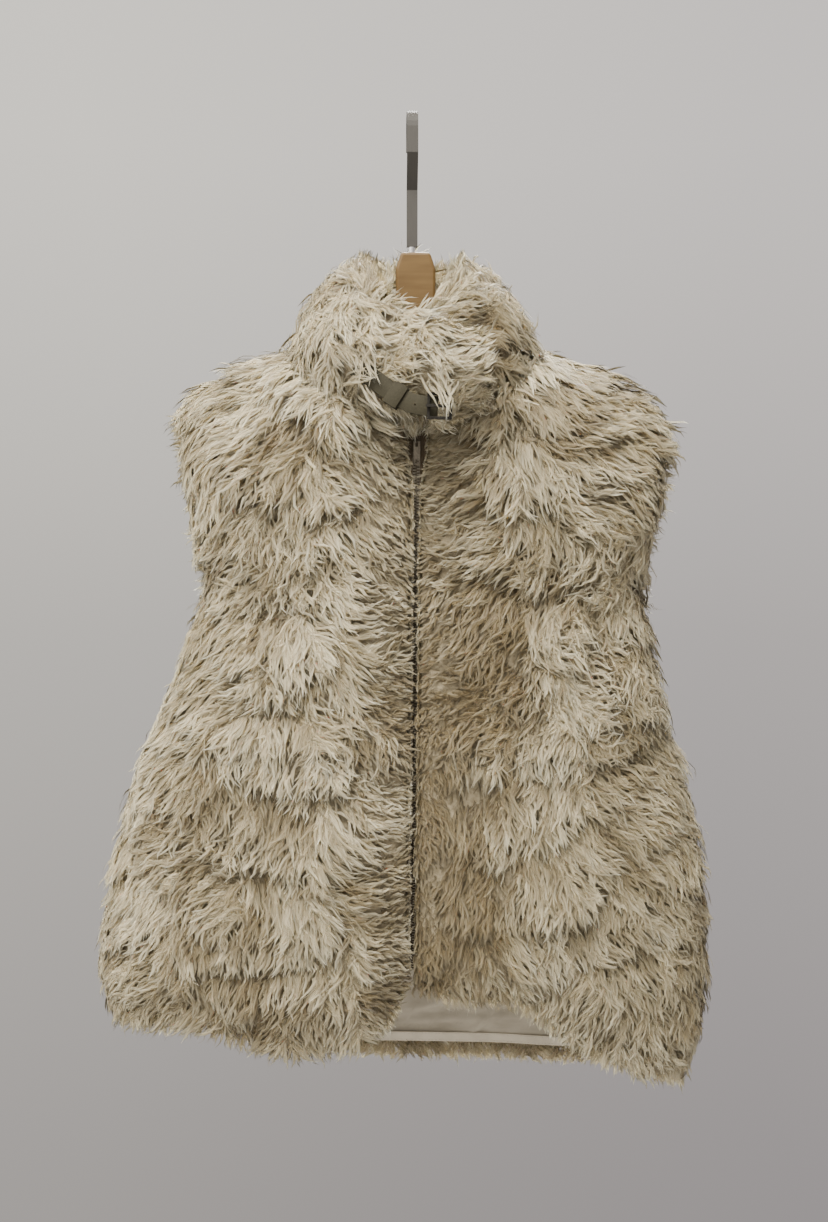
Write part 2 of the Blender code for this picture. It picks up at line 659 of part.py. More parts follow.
def build_collar_half(name, side, front_edge, back_edges, overlaps):
    edges = collar_edges(front_edge, back_edges, side)
    columns, seam_lean, seam_lengths, lengths, fan_low, side_fan = [], [], [], [], [], []
    centre_gap = np.array([side * 0.5 * SEAM_GAP, 0.0, 0.0])
    for k, (base, wool, into) in enumerate(edges):
        at_front = fade(abs(base[0]), FRONT_SEAM_REACH) * (base[1] < 0.0)
        shift = -into * SEAM_GAP * (0.5 + FRONT_SEAM_GAPS * at_front)
        shift = shift + (centre_gap if k == 0 else 0.0)
        lean = unit(wool - base)
        columns.append(collar_column(side, base, lean, shift))
        pressed = side == RIGHT and base[1] < 0.0
        cover = UNDERLAP_STRENGTH * fade(abs(base[0]), UNDERLAP_REACH) if pressed else 0.0
        lengths.append(WOOL_LENGTH + (UNDERLAP_WOOL - WOOL_LENGTH) * min(cover, 1.0))
        seam_lean.append(lean)
        seam_lengths.append(min(np.linalg.norm(wool - base), lengths[-1]))
        fan_low.append(0.0)
        side_fan.append(np.zeros(3))
    if overlaps:
        add_overlap(columns, seam_lean, seam_lengths, lengths, fan_low, side_fan)
    skin = np.stack(columns, axis=1)
    outer = collar_wool(skin, seam_lean, seam_lengths, lengths, fan_low, side_fan)
    outer[:, 0, 0] = skin[:, 0, 0]
    wall(name, skin, outer, CREAM_WOOL)
    return outer


def add_overlap(columns, seam_lean, seam_lengths, lengths, fan_low, side_fan):
    """Carries the left collar across the centre front, over the right one."""
    for place in OVERLAPS:
        skin = []
        for k in range(COLLAR_ROWS):
            part = k / (COLLAR_ROWS - 1)
            bulge = COLLAR_BULGE * math.sin(math.pi * part)
            height = place.low + (place.high - place.low) * part
            skin.append((place.x, place.y - bulge - OVERLAP_TILT * part, height))
        columns.append(np.array(skin))
        seam_lean.append(OVERLAP_START_LEAN if place.fan == 0.0 else None)
        seam_lengths.append(WOOL_LENGTH)
        lengths.append(WOOL_LENGTH)
        fan_low.append(place.fan)
        share = place.x / OVERLAPS[-1].x
        side_fan.append(np.array([OVERLAP_END_FAN * share ** 3, 0.0, 0.0]))


# Things laid on the collar

def dense_points(grid, steps):
    """Points of a grid with extra ones spaced evenly inside each of its cells."""
    rows, columns = grid.shape[:2]
    points = []
    for r in range(rows - 1):
        for c in range(columns - 1):
            for i in range(steps):
                for j in range(steps):
                    up, on = i / steps, j / steps
                    low = grid[r, c] * (1 - on) + grid[r, c + 1] * on
                    high = grid[r + 1, c] * (1 - on) + grid[r + 1, c + 1] * on
                    points.append(low * (1 - up) + high * up)
    return np.array(points)


def front_of(points, x, z):
    """How far forward the wool comes behind a strap-wide patch seen from the front."""
    near = (abs(points[:, 0] - x) < STRAP_PATCH[0]) & (abs(points[:, 2] - z) < STRAP_PATCH[1])
    return float(np.min(points[near, 1]))


def strap_lines(outer):
    """Middle line of the strap, its width directions and its facing directions."""
    points = dense_points(outer, WOOL_SAMPLES)
    buckle_end = BUCKLE_CENTRE_X + 0.5 * BUCKLE_SIZE[0] + BUCKLE_WIRE
    places = np.linspace(STRAP_LINE[0].x, buckle_end, STRAP_SAMPLES)
    depths = np.array([front_of(points, x, smooth(STRAP_LINE, "x", "z", x)) for x in places])
    curve = np.polyfit(places, depths, STRAP_CURVE_DEGREE)
    clear = float(np.max(np.polyval(curve, places) - depths))
    middle = []
    for x in np.linspace(STRAP_LINE[0].x, STRAP_LINE[-1].x, STRAP_STEPS):
        depth = np.polyval(curve, x) - clear - STRAP_STAND_OFF
        middle.append(np.array([x, depth, smooth(STRAP_LINE, "x", "z", x)]))
    along = [unit(step) for step in np.gradient(np.array(middle), axis=0)]
    facing = np.array([0.0, -1.0, 0.0])
    out = [unit(facing - step * np.dot(step, facing)) for step in along]
    across = [np.cross(step, front) for step, front in zip(along, out)]
    return middle, along, across, out


def frame_ring(name, centre, along, across, out, size, wire, depth, look):
    """Rectangular ring in the plane of two directions, as a buckle or a keeper is."""
    vertices = []
    for level in (-0.5, 0.5):
        for grow in (0.0, wire):
            half_long = 0.5 * size[0] + grow
            half_wide = 0.5 * size[1] + grow
            for step_long, step_wide in ((-1, -1), (1, -1), (1, 1), (-1, 1)):
                place = centre + along * half_long * step_long + across * half_wide * step_wide
                vertices.append(place + out * depth * level)
    faces = []
    for k in range(4):
        turn = (k + 1) % 4
        faces.append((k, turn, 4 + turn, 4 + k))
        faces.append((8 + k, 8 + turn, 12 + turn, 12 + k))
        faces.append((k, turn, 8 + turn, 8 + k))
        faces.append((4 + k, 4 + turn, 12 + turn, 12 + k))
    new_object(name, vertices, faces, look)


def build_strap(outer):
    middle, along, across, out = strap_lines(outer)
    ribbon("throat_strap", middle, across, out, STRAP_WIDTH, STRAP_THICKNESS, OLIVE_LEATHER)
    at = int(np.argmin([abs(point[0] - STRAP_KEEPER_AT) for point in middle]))
    inside = (STRAP_WIDTH + KEEPER_PLAY[0], STRAP_THICKNESS + KEEPER_PLAY[1])
    frame_ring("strap_keeper", middle[at], across[at], out[at], along[at], inside,
               KEEPER_THICKNESS, KEEPER_LENGTH, OLIVE_LEATHER)
    place, onward, aside, front = middle[-1], along[-1], across[-1], out[-1]
    centre = place + onward * (BUCKLE_CENTRE_X - place[0])
    ahead = 0.5 * (STRAP_THICKNESS + BUCKLE_WIRE) + BUCKLE_LIFT
    hole = (BUCKLE_SIZE[0] - BUCKLE_WIRE, BUCKLE_SIZE[1] - BUCKLE_WIRE)
    frame_ring("buckle_frame", centre + front * ahead, onward, aside, front, hole,
               BUCKLE_WIRE, BUCKLE_WIRE, DARK_METAL)
    prong = centre + front * (ahead + BUCKLE_WIRE + SEAM_GAP)
    tip = prong - onward * PRONG_TIP_SHARE * BUCKLE_SIZE[0]
    root = prong + onward * PRONG_ROOT_SHARE * BUCKLE_SIZE[0]
    ribbon("buckle_prong", [root, tip], [aside] * 2, [front] * 2, BUCKLE_WIRE, BUCKLE_WIRE, DARK_METAL)


# Zip

def zip_line(top, bottom, steps):
    """Points down the zip on the skin of the fronts, at the middle between them."""
    line = []
    for z in np.linspace(top, bottom, steps):
        depths = [skin_depth(panel, FRONT, side, zip_middle(z) + side * away, z)
                  for panel, side in (("front_left", LEFT), ("front_right", RIGHT))
                  for away in (ZIP_OPENING, 0.5 * CHAIN_WIDTH + TAPE_WIDTH)]
        line.append(np.array([zip_middle(z), ZIP_SET_BACK - min(depths), z]))
    return line


def build_zip():
    line = zip_line(ZIP_TOP, ZIP_BOTTOM, ZIP_STEPS)
    width = [np.array([1.0, 0.0, 0.0])] * len(line)
    facing = [np.array([0.0, -1.0, 0.0])] * len(line)
    behind = np.array([0.0, SEAM_GAP + 0.5 * TAPE_THICKNESS, 0.0])
    for name, side in (("zip_tape_left", LEFT), ("zip_tape_right", RIGHT)):
        aside = np.array([side * (0.5 * CHAIN_WIDTH + SEAM_GAP + 0.5 * TAPE_WIDTH), 0.0, 0.0])
        tape = [p + behind + aside for p in line]
        ribbon(name, tape, width, facing, TAPE_WIDTH, TAPE_THICKNESS, TAPE_CLOTH)
    chain = [p + np.array([0.0, 0.5 * TAPE_THICKNESS, 0.0]) for p in line]
    ribbon("zip_chain", chain, width, facing, CHAIN_WIDTH, CHAIN_THICKNESS, OLD_BRASS)
    return zip_line(SLIDER_CENTRE, SLIDER_CENTRE, 1)[0]


def bevelled_box(name, size, centre, bevel, look):
    bpy.ops.mesh.primitive_cube_add(size=1.0, location=centre)
    obj = bpy.context.object
    obj.name = name
    obj.data.name = name
    obj.data.transform(((size[0], 0, 0, 0), (0, size[1], 0, 0), (0, 0, size[2], 0), (0, 0, 0, 1)))
    rounding = obj.modifiers.new("rounding", "BEVEL")
    rounding.width = bevel
    rounding.segments = 2
    finish(obj, look)
    return obj


def build_slider(on_zip):
    front = on_zip[1] - 0.5 * CHAIN_THICKNESS - SEAM_GAP
    centre = (on_zip[0], front - 0.5 * SLIDER_SIZE[1], SLIDER_CENTRE)
    bevelled_box("zip_slider", SLIDER_SIZE, centre, SLIDER_ROUNDING, OLD_BRASS)
    hinge_depth = front - SLIDER_SIZE[1] - 0.5 * TAB_SIZE[1] - 2.0 * SEAM_GAP
    hinge = (on_zip[0], hinge_depth, TAB_HINGE_HEIGHT)
    tab = bevelled_box("zip_pull_tab", TAB_SIZE, hinge, TAB_ROUNDING, OLD_BRASS)
    for vertex in tab.data.vertices:
        vertex.co.z -= 0.5 * TAB_SIZE[2] - 0.5 * TAB_SIZE[1]


# Hanger

def hanger_outline():
    """Half outline of the wood, from the top of its head down to the tip and back along the bottom."""
    start = HEAD_HALF_WIDTH + ARM_START
    arm = []
    for k in range(ARM_STEPS + 1):
        x = start + (HANGER_SPAN - start) * k / ARM_STEPS
        arm.append((x, shoulder_height(x + HANGER_CENTRE_X) - HANGER_CLEARANCE))
    head = [(HEAD_TOP_HALF_WIDTH, HEAD_TOP), (HEAD_HALF_WIDTH, HEAD_TOP - HEAD_SLOPE)]
    head.append((HEAD_HALF_WIDTH, HEAD_BASE))
    bottom = []
    for k, (x, z) in enumerate(reversed(arm)):
        deepening = math.sin(0.5 * math.pi * k / ARM_STEPS)
        depth = HANGER_TIP_DEPTH + (HANGER_ARM_DEPTH - HANGER_TIP_DEPTH) * deepening
        bottom.append((x - TIP_SLANT * (k == 0), z - depth))
    bottom.append((0.0, bottom[-1][1] + MIDDLE_RISE))
    return head, arm, bottom


def build_hanger():
    head, arm, bottom = hanger_outline()
    right = head + arm + bottom
    outline = right + [(-x, z) for x, z in reversed(right[:-1])]
    vertices = []
    for level in (-HANGER_HALF_THICKNESS, HANGER_HALF_THICKNESS):
        vertices += [(x + HANGER_CENTRE_X, level, z) for x, z in outline]
    count = len(outline)
    faces = [tuple(range(count)), tuple(range(2 * count - 1, count - 1, -1))]
    for k in range(count):
        turn = (k + 1) % count
        faces.append((k, turn, count + turn, count + k))
    obj = new_object("hanger", vertices, faces, BEECH)
    rounding = obj.modifiers.new("rounding", "BEVEL")
    rounding.width = HEAD_EDGE_ROUND
    rounding.segments = 2
    rounding.limit_method = "ANGLE"
    rounding.angle_limit = ROUNDED_ANGLE


def hook_path():
    """Middle line of the hook bar from its tip behind the rail, over the crown and down the front."""
    radius = RAIL_RADIUS + HOOK_PLAY + 0.5 * HOOK_THICKNESS
    centre = 0.5 * HOOK_THICKNESS - radius
    path = [(radius, HOOK_TIP_HEIGHT)]
    for degrees in range(0, 181, HOOK_ARC_STEP):
        angle = math.radians(degrees)
        path.append((radius * math.cos(angle), centre + radius * math.sin(angle)))
    path.append((-radius, HOOK_FRONT_STRAIGHT))
    path.append((-0.5 * radius, 0.5 * (HOOK_FRONT_STRAIGHT + HOOK_KINK_HEIGHT)))
    path += [(0.0, HOOK_KINK_HEIGHT), (0.0, HOOK_BOTTOM)]
    return path


def build_hook():
    path = np.array([(0.0, y, z) for y, z in hook_path()])
    tangents = np.array([unit(step) for step in np.gradient(path, axis=0)])
    width = [np.array([1.0, 0.0, 0.0])] * len(path)
    out = [np.cross(tangent, (1.0, 0.0, 0.0)) for tangent in tangents]
    ribbon("hanger_hook", list(path), width, out, HOOK_WIDTH, HOOK_THICKNESS, STEEL)
    pin_top = HOOK_BOTTOM - SEAM_GAP
    pin_bottom = HEAD_TOP + SEAM_GAP
    bpy.ops.mesh.primitive_cylinder_add(vertices=PIN_SIDES, radius=PIN_RADIUS, depth=pin_top - pin_bottom,
                                        location=(0.0, 0.0, 0.5 * (pin_top + pin_bottom)))
    pin = bpy.context.object
    pin.name = "hanger_pin"
    pin.data.name = "hanger_pin"
    finish(pin, STEEL)


# Build

for old in list(bpy.data.objects):
    bpy.data.objects.remove(old, do_unlink=True)
vest = bpy.data.collections.new("shearling_vest_on_hanger")
bpy.context.scene.collection.children.link(vest)

left_neck = build_front("front_left", LEFT)
right_neck = build_front("front_right", RIGHT)
back_neck, back_skin = build_back()
build_back_hem_facing(back_skin)
left_collar_wool = build_collar_half("collar_left", LEFT, left_neck, back_neck, True)
build_collar_half("collar_right", RIGHT, right_neck, back_neck, False)
build_strap(left_collar_wool)
build_slider(build_zip())
build_hanger()
build_hook()
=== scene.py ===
"""Looks of the shearling vest on its wooden hanger: wool, leather, zip, strap, hook, light and camera."""
import math
from collections import namedtuple

import bmesh
import bpy
import numpy as np
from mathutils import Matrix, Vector
from mathutils.bvhtree import BVHTree
from mathutils.kdtree import KDTree


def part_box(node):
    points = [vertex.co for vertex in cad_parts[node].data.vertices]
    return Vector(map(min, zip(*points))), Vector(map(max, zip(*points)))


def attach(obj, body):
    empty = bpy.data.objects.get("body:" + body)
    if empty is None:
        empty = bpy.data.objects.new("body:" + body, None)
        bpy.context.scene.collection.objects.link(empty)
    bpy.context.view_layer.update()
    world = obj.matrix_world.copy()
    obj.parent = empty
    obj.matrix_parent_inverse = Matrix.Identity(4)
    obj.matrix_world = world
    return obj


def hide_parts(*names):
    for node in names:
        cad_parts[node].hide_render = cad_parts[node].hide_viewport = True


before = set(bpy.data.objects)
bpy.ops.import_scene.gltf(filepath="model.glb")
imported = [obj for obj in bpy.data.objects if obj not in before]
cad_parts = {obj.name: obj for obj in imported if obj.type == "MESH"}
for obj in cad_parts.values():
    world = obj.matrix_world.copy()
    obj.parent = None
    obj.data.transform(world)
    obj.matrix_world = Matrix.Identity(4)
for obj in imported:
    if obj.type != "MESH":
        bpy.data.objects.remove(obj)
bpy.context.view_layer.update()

bpy.ops.object.select_all(action="DESELECT")

# Lengths are in metres. A pair of numbers is the least and the most, unless its comment says otherwise.
FRONT, BACK = -1, 1
FULL_TURN = 2.0 * math.pi
RIPPLES = 9                  # waves in an uneven field
RIPPLE_LENGTHS = (0.8, 2.2)  # of its scale
INTO_SCENE = Vector((0.0, 1.0, 0.0))
MERGE = 0.00002              # points of one CAD node this close are one point
LOOK_GAP = 0.0002            # a look out from a wall starts this far off it
LOOK_DROP = -0.12            # and goes down by this much
RIM_LOOK_GAP = 0.0001
COLLAR_CENTRE = -0.01        # y of the middle of the collar
NEIGHBOUR = 0.0025           # a rim this close to another piece is a seam and grows no wool
NECK_SEAM_TOP = -0.205       # the neck seam is below this height
NECK_SEAM_HALF_WIDTH = 0.092
NECK_SEAM_FRONT = 0.052
NECK_SEAM_BACK = 0.038
NECK_SEAM_POWER = 4
NECK_SEAM_LIMIT = 1.6        # on the neck's flattened oval, the seam lies within this

# Locks of wool
PLACE_TRIES = 6.0            # random places tried for each square of the gap
LOCK_RINGS = 5
LOCK_LENGTH = 0.036
LENGTH_BY_DEPTH = (0.70, 1.1)        # share of the length where the wool is thin and where it is deep
LENGTH_SPREAD = (0.8, 1.15)
LOCK_START = 0.36            # share of a lock that stays hidden in the down
LOCK_CLIMB = 0.8             # share of the wool's depth that a lock climbs from its root
LOCK_FORWARD = 0.12          # share of the way to its place that it covers meanwhile
TIP_RUN = 0.45               # share of a lock that runs along the surface to its tip
TIP_ARCH = 0.0012
FULL_WOOL = 0.022            # depth of wool where a lock has its full length
FULLNESS_LEAST = 0.3
CURL_ASIDE = 0.0026          # how far the tips stray sideways
CURLY_ASIDE = 1.6            # share that full curliness adds to that
CURLY_HEIGHT = 1.3           # to the height of the waves
CURLY_WAVES = 0.5            # to their number
CURLY_TURN = 2.0             # and to the uneven turns of the combing
WAVE_HEIGHT = 0.0025
WAVE_HEIGHT_SPREAD = (0.5, 1.5)
WAVE_BY_DEPTH = (0.4, 1.0)
WAVE_GROWTH = 0.8            # power by which a wave grows to the tip
WAVE_DEPTH = 0.6             # share of the wave that goes in and out
WAVES_IN_LOCK = 1.5
WAVES_SPREAD = (0.7, 1.3)
WAVE_OFFSET = 0.7            # how far a lock's wave strays from its tuft's, in radians
STRAY_SHARE = 0.06           # share of the locks that stand out from the rest
STRAY_RISE = 0.0065
MESS_RISE = 0.0007           # uneven rise from lock to lock, and then in waves of the next reach
MESS_WAVE = 0.0010
MESS_REACH = 0.032
COMB_REACH = 0.034           # a combed direction holds to about this far from its place
COMB_FAR = 1e-5              # weight of a combed direction far away, over its distance and the next length
COMB_FAR_GAP = 0.01
COMB_WIDE_TURN = math.radians(13)    # uneven turns over a wide and a fine reach, and from lock to lock
COMB_WIDE_REACH = 0.075
COMB_FINE_TURN = math.radians(11)
COMB_FINE_REACH = 0.030
COMB_LOOSE_TURN = math.radians(7)
COMB_WIDE_SEED, COMB_FINE_SEED, MESS_SEED, LEATHER_SEED = 100, 200, 300, 400   # added to the panel's

# Puffs of wool, and the tufts in a puff
Mound = namedtuple("Mound", "slope middle fall")     # rise to its lower end, height, fall to its sides
PUFF_GAP = 0.052             # wool stands in puffs about this far apart
PUFF_RISE = 0.0135           # how far a puff's lower end stands out over the next puff
PUFF_LEAST = 0.15            # share of that which the flattest puff has
PUFF_SHAPE = Mound(0.75, 0.10, 1.1)
PUFF_TURN = 0.7              # turn of a puff as a share of a tuft's
PUFF_LEAN = 0.30             # how far the shading leans up against the comb
TUFT_GAP = 0.0085            # in a puff, locks gather in tufts about this far apart
TUFT_RISE = 0.0028
TUFT_SHAPE = Mound(0.7, 0.15, 1.3)
TUFT_PULL = 0.36             # share of the way that lock tips lean to their tuft's tip
TUFT_TIP = 0.30              # how far along the comb that tip lies, in gaps
TUFT_TURN = math.radians(13)
TINT_BY_TUFT = 0.17
TINT_BY_PUFF = 0.17
PAINTED_SHADE_BY_RISE = 0.14
PAINTED_SHADE_RISE = 0.0042           # wool that stands out this much is painted a step lighter, and sunk wool darker, as painted shade
PAINTED_SHADE_RISES = (-3.0, 2.0)
PARTING_RISE = 0.0065        # wool above a parting stands out over it by this much
PARTING_RISE_AT = (0.006, 0.010)     # distance from the parting and width
PARTING_SINK = 0.0095        # wool below a parting sinks in by this much
PARTING_SINK_AT = (-0.008, 0.008)
LINE_ENDS = 0.6              # partings and creases fade out over this share of their length
PATCH_SIDE_POWER = 2.5       # how sharply a patch ends at its sides and at its upper and lower end
PATCH_END_POWER = 4

# Wool on rims and along seams and the zip
RIM_RISE = 0.003             # wool on a rim stays this close to it
RIM_LIFT = 0.3               # and has this share of the lift of other wool
RIM_LENGTH = 0.35            # and this share of its length
RIM_GAP = 0.65               # the gap between locks on a rim is this share of the panel's
BACK_RIM_GAP = 0.46
# Painted light: wool on a rim is painted lighter by this, as the light on the vest's edges
RIM_PAINTED_LIGHT = 0.20
RIM_LIT_START = 0.45             # a lock on a rim is painted lit: it shows no painted dark root, and starts at this share of its colours
RIM_COVER = 0.010            # wool at a free edge hangs over it by this, and less up to twice this far off
ZIP_COVER = 0.46             # share of that along the zip
ZIP_REACH = 0.024
ZIP_SHORT = 0.034            # wool closer to the zip than this is shorter
ZIP_SHORTEST = 0.55
SEAM_COVER = 0.016           # wool at a seam hangs over it by this, and less up to this far off
SEAM_COVER_LIFT = 0.003      # and stands out by this much
COLLAR_COVER_LIFT = 0.008
COVER_AT_SIDE = 0.2          # share of the cover that a lock combed along the edge has
EDGE_TOUCH = 0.001           # a lock this close to an edge covers it whichever way it is combed

# Loose locks by the strap
STRAP_FRONT = -0.5           # faces whose normal's y is below this are the strap's front
STRAP_COVER_GAP = 0.0026     # between locks that hide the strap left of its keeper
STRAP_COVER_RISE = 0.0035
STRAP_COVER_ANGLE = math.radians(32)
STRAP_VIEW_END = 0.0105      # from the keeper to here the strap shows
STRAP_TOP_COVER = 0.0035     # but for this much of its upper edge beside the keeper
STRAP_TOP_GAP = 0.0045       # between the wool and the strap's upper edge right of the keeper
STRAP_SLICE = 0.004
BUCKLE_WISPS = 44            # locks that hang over the buckle
BUCKLE_WISP_START = 0.0115
BUCKLE_WISP_DROP = 0.006
BUCKLE_WISP_RISE = 0.0030
BUCKLE_WISP_SPREAD = math.radians(14)
TONGUE_LOCKS = 220           # wool under the collar hangs in a tongue to the zip's top
TONGUE_HALF_WIDTH = 0.036
TONGUE_MIDDLE = 0.0018
TONGUE_TOP = (-0.108, -0.258)        # y and z where the tongue starts and where its point is
TONGUE_POINT = (-0.070, -0.276)
TONGUE_LENGTH = 0.030
LOOSE_RISE = 0.003           # loose locks stand out by up to this much

# Strands of a lock: the first is its wide body and the others are fine
STRAND_ENDS = (0.80, 1.06)   # share of the lock's length that a strand has
STRAND_WIDTHS = (0.7, 1.35)
STRAND_TWIST = math.radians(14)
STRAND_WAVE = 0.0005
STRAND_WAVES = 1.4
STRAND_SOFTNESS = 0.50       # how far a strand's shading follows the tuft that it lies in
STRAND_ROUND = 0.18          # how round a strand is shaded across
STRAND_TAPER = ((0.0, 0.3, 0.7, 1.0), (0.6, 1.0, 0.9, 0.3))      # places along it and its width there
LOCK_TAPER = ((0.0, 0.55, 1.0), (1.25, 1.0, 0.55))
LOCK_ROUND = 0.40            # how round a lock is shaded across its strands
LOCK_FLAT = 0.5              # depth of a lock as a share of its width
BODY_SHARE = 0.80            # share of the lock's width that its body fills
BODY_SINK = 0.0004           # the body lies this far under the fine strands
BODY_ROUND = 0.55
WOOL_MAP = "OFBake"          # UV map with the tint across and the place from root to tip along
BODY_MAP = 0.020             # half of the body's width on the map
STRAND_MAP = 0.004
MAP_START, MAP_LENGTH = 0.02, 0.92
MAP_TINTS = (0.04, 0.96)
LOCK_TINT = 0.06             # uneven tint from lock to lock and from strand to strand
STRAND_TINT = 0.04

Panel = namedtuple("Panel", "node face gap lock_width strand_width strands wool_pieces mess seed")
PANELS = (
    Panel("front_left", FRONT, 0.0026, 0.0026, 0.0007, 2, 2, 1.0, 11),
    Panel("front_right", FRONT, 0.0026, 0.0026, 0.0007, 2, 2, 1.0, 12),
    Panel("back", BACK, 0.0043, 0.0038, 0.0010, 2, 2, 1.0, 13),
    Panel("collar_left", None, 0.0022, 0.0021, 0.0006, 2, 1, 1.8, 14),
    Panel("collar_right", None, 0.0022, 0.0021, 0.0006, 2, 1, 1.8, 15),
)

# How the wool is combed: x, z and angle, where 0 degrees hangs straight down, 90 points to +X, 180 points up
COMBS = {
    "front_left": (
        (-0.190, -0.260, -65),
        (-0.110, -0.250, -40),
        (-0.180, -0.350, -50),
        (-0.090, -0.340, -10),
        (-0.012, -0.275, 60),
        (-0.015, -0.330, 75),
        (-0.012, -0.400, 95),
        (-0.012, -0.535, 105),
        (-0.012, -0.665, 100),
        (-0.190, -0.480, -45),
        (-0.110, -0.460, -8),
        (-0.060, -0.480, 20),
        (-0.012, -0.470, 105),
        (-0.230, -0.620, -35),
        (-0.130, -0.600, -12),
        (-0.060, -0.600, 15),
        (-0.012, -0.600, 105),
        (-0.270, -0.740, -30),
        (-0.160, -0.730, -5),
        (-0.070, -0.740, 12),
        (-0.012, -0.730, 90),
    ),
    "front_right": (
        (0.200, -0.260, 65),
        (0.110, -0.250, 40),
        (0.200, -0.340, 55),
        (0.100, -0.340, 18),
        (0.012, -0.275, -60),
        (0.015, -0.330, -85),
        (0.015, -0.375, -85),
        (0.200, -0.470, 70),
        (0.120, -0.460, 5),
        (0.050, -0.450, -12),
        (0.015, -0.420, -70),
        (0.015, -0.500, -15),
        (0.240, -0.600, 60),
        (0.150, -0.600, 15),
        (0.060, -0.600, -5),
        (0.015, -0.620, 5),
        (0.250, -0.760, 35),
        (0.150, -0.760, 15),
        (0.050, -0.740, 0),
    ),
    "back": (
        (-0.180, -0.280, -50),
        (0.180, -0.280, 50),
        (0.000, -0.300, 4),
        (-0.170, -0.480, -30),
        (0.170, -0.480, 30),
        (0.000, -0.500, -6),
        (-0.220, -0.700, -28),
        (0.220, -0.700, 28),
        (0.000, -0.720, 5),
        (-0.100, -0.860, -8),
        (0.100, -0.860, 8),
    ),
    "collar_left": (
        (-0.060, -0.150, -160),
        (-0.030, -0.165, 175),
        (-0.085, -0.185, -110),
        (-0.060, -0.205, -40),
        (-0.090, -0.225, -35),
        (-0.050, -0.235, 15),
        (-0.035, -0.205, 5),
        (-0.042, -0.232, 25),
        (-0.015, -0.200, 70),
        (0.010, -0.215, 85),
        (-0.010, -0.250, 8),
        (0.030, -0.205, 115),
        (0.035, -0.225, 90),
        (0.030, -0.250, 45),
    ),
    "collar_right": (
        (0.060, -0.150, 160),
        (0.030, -0.165, 180),
        (0.085, -0.185, 105),
        (0.050, -0.200, 75),
        (0.060, -0.225, 35),
        (0.090, -0.225, 35),
        (0.030, -0.245, 20),
    ),
}

# Lines where the wool parts and the wool above hangs over: x, z, length and turn from level in degrees
PARTINGS = {
    "front_left": (
        (-0.110, -0.427, 0.075, 4),
        (-0.120, -0.511, 0.085, -4),
        (-0.090, -0.583, 0.080, 6),
        (-0.150, -0.655, 0.095, -6),
        (-0.140, -0.748, 0.100, 8),
        (-0.060, -0.345, 0.060, 20),
    ),
    "front_right": (
        (0.185, -0.276, 0.040, 10),
        (0.175, -0.318, 0.045, 6),
        (0.138, -0.352, 0.032, -45),
        (0.095, -0.490, 0.055, -62),
        (0.190, -0.560, 0.060, 14),
        (0.190, -0.745, 0.055, 8),
        (0.060, -0.400, 0.050, -20),
    ),
    "back": (
        (-0.100, -0.345, 0.080, 6),
        (0.090, -0.430, 0.090, -8),
        (-0.080, -0.530, 0.100, 5),
        (0.120, -0.610, 0.090, -6),
        (-0.140, -0.660, 0.090, 9),
        (0.030, -0.750, 0.120, -4),
        (-0.090, -0.820, 0.090, 6),
    ),
}

# Places where the wool is darker, below 0, or lighter: x, z, half width, half height, change and sinking.
# Several are painted shade and several painted light, as noted at their rows
PATCHES = {
    "front_left": (
        (-0.120, -0.380, 0.090, 0.030, -0.08, 0.0),
        # painted light along the left edge, lit from the left
        (-0.265, -0.680, 0.055, 0.170, 0.22, 0.0),
        # painted shade in the zip's groove
        (-0.002, -0.560, 0.013, 0.300, -0.22, 0.0),
    ),
    "front_right": (
        # painted shade in the recessed strip beside the zip, partly also a darker tone of the wool
        (0.036, -0.612, 0.050, 0.182, -0.78, 0.005),
        (0.080, -0.320, 0.060, 0.050, -0.10, 0.0),
        # painted shade in the zip's groove
        (0.010, -0.560, 0.018, 0.300, -0.26, 0.0),
        (0.170, -0.550, 0.075, 0.120, 0.20, 0.0),
    ),
    "back": (
        # painted light on the back's hem
        (0.000, -0.905, 0.300, 0.030, 0.30, 0.0),
    ),
    "collar_left": (
        (0.000, -0.215, 0.025, 0.014, -0.16, 0.0),
        # painted light on the end of the collar's flap
        (0.040, -0.222, 0.026, 0.032, 0.62, 0.0),
        # painted light on the tongue of wool in the strap's shade
        (0.002, -0.268, 0.034, 0.013, 0.30, 0.0),
        (-0.060, -0.190, 0.050, 0.030, 0.10, 0.0),
    ),
    "collar_right": (
        # painted shade on the collar behind the flap's end
        (0.070, -0.205, 0.026, 0.034, -0.26, 0.0),
    ),
}

# Places where the wool is curlier: x, z, reach and strength
CURLS = {
    "front_left": (
        (-0.100, -0.405, 0.045, 0.8),
        (-0.060, -0.560, 0.040, 0.5),
        (-0.190, -0.640, 0.050, 0.6),
    ),
    "front_right": (
        (0.165, -0.430, 0.060, 1.0),
        (0.190, -0.520, 0.055, 1.0),
        (0.060, -0.520, 0.050, 0.6),
    ),
    "back": (
        (0.120, -0.450, 0.070, 0.7),
        (-0.130, -0.600, 0.060, 0.7),
    ),
    "collar_left": (
        (0.000, -0.215, 0.030, 0.9),
    ),
}

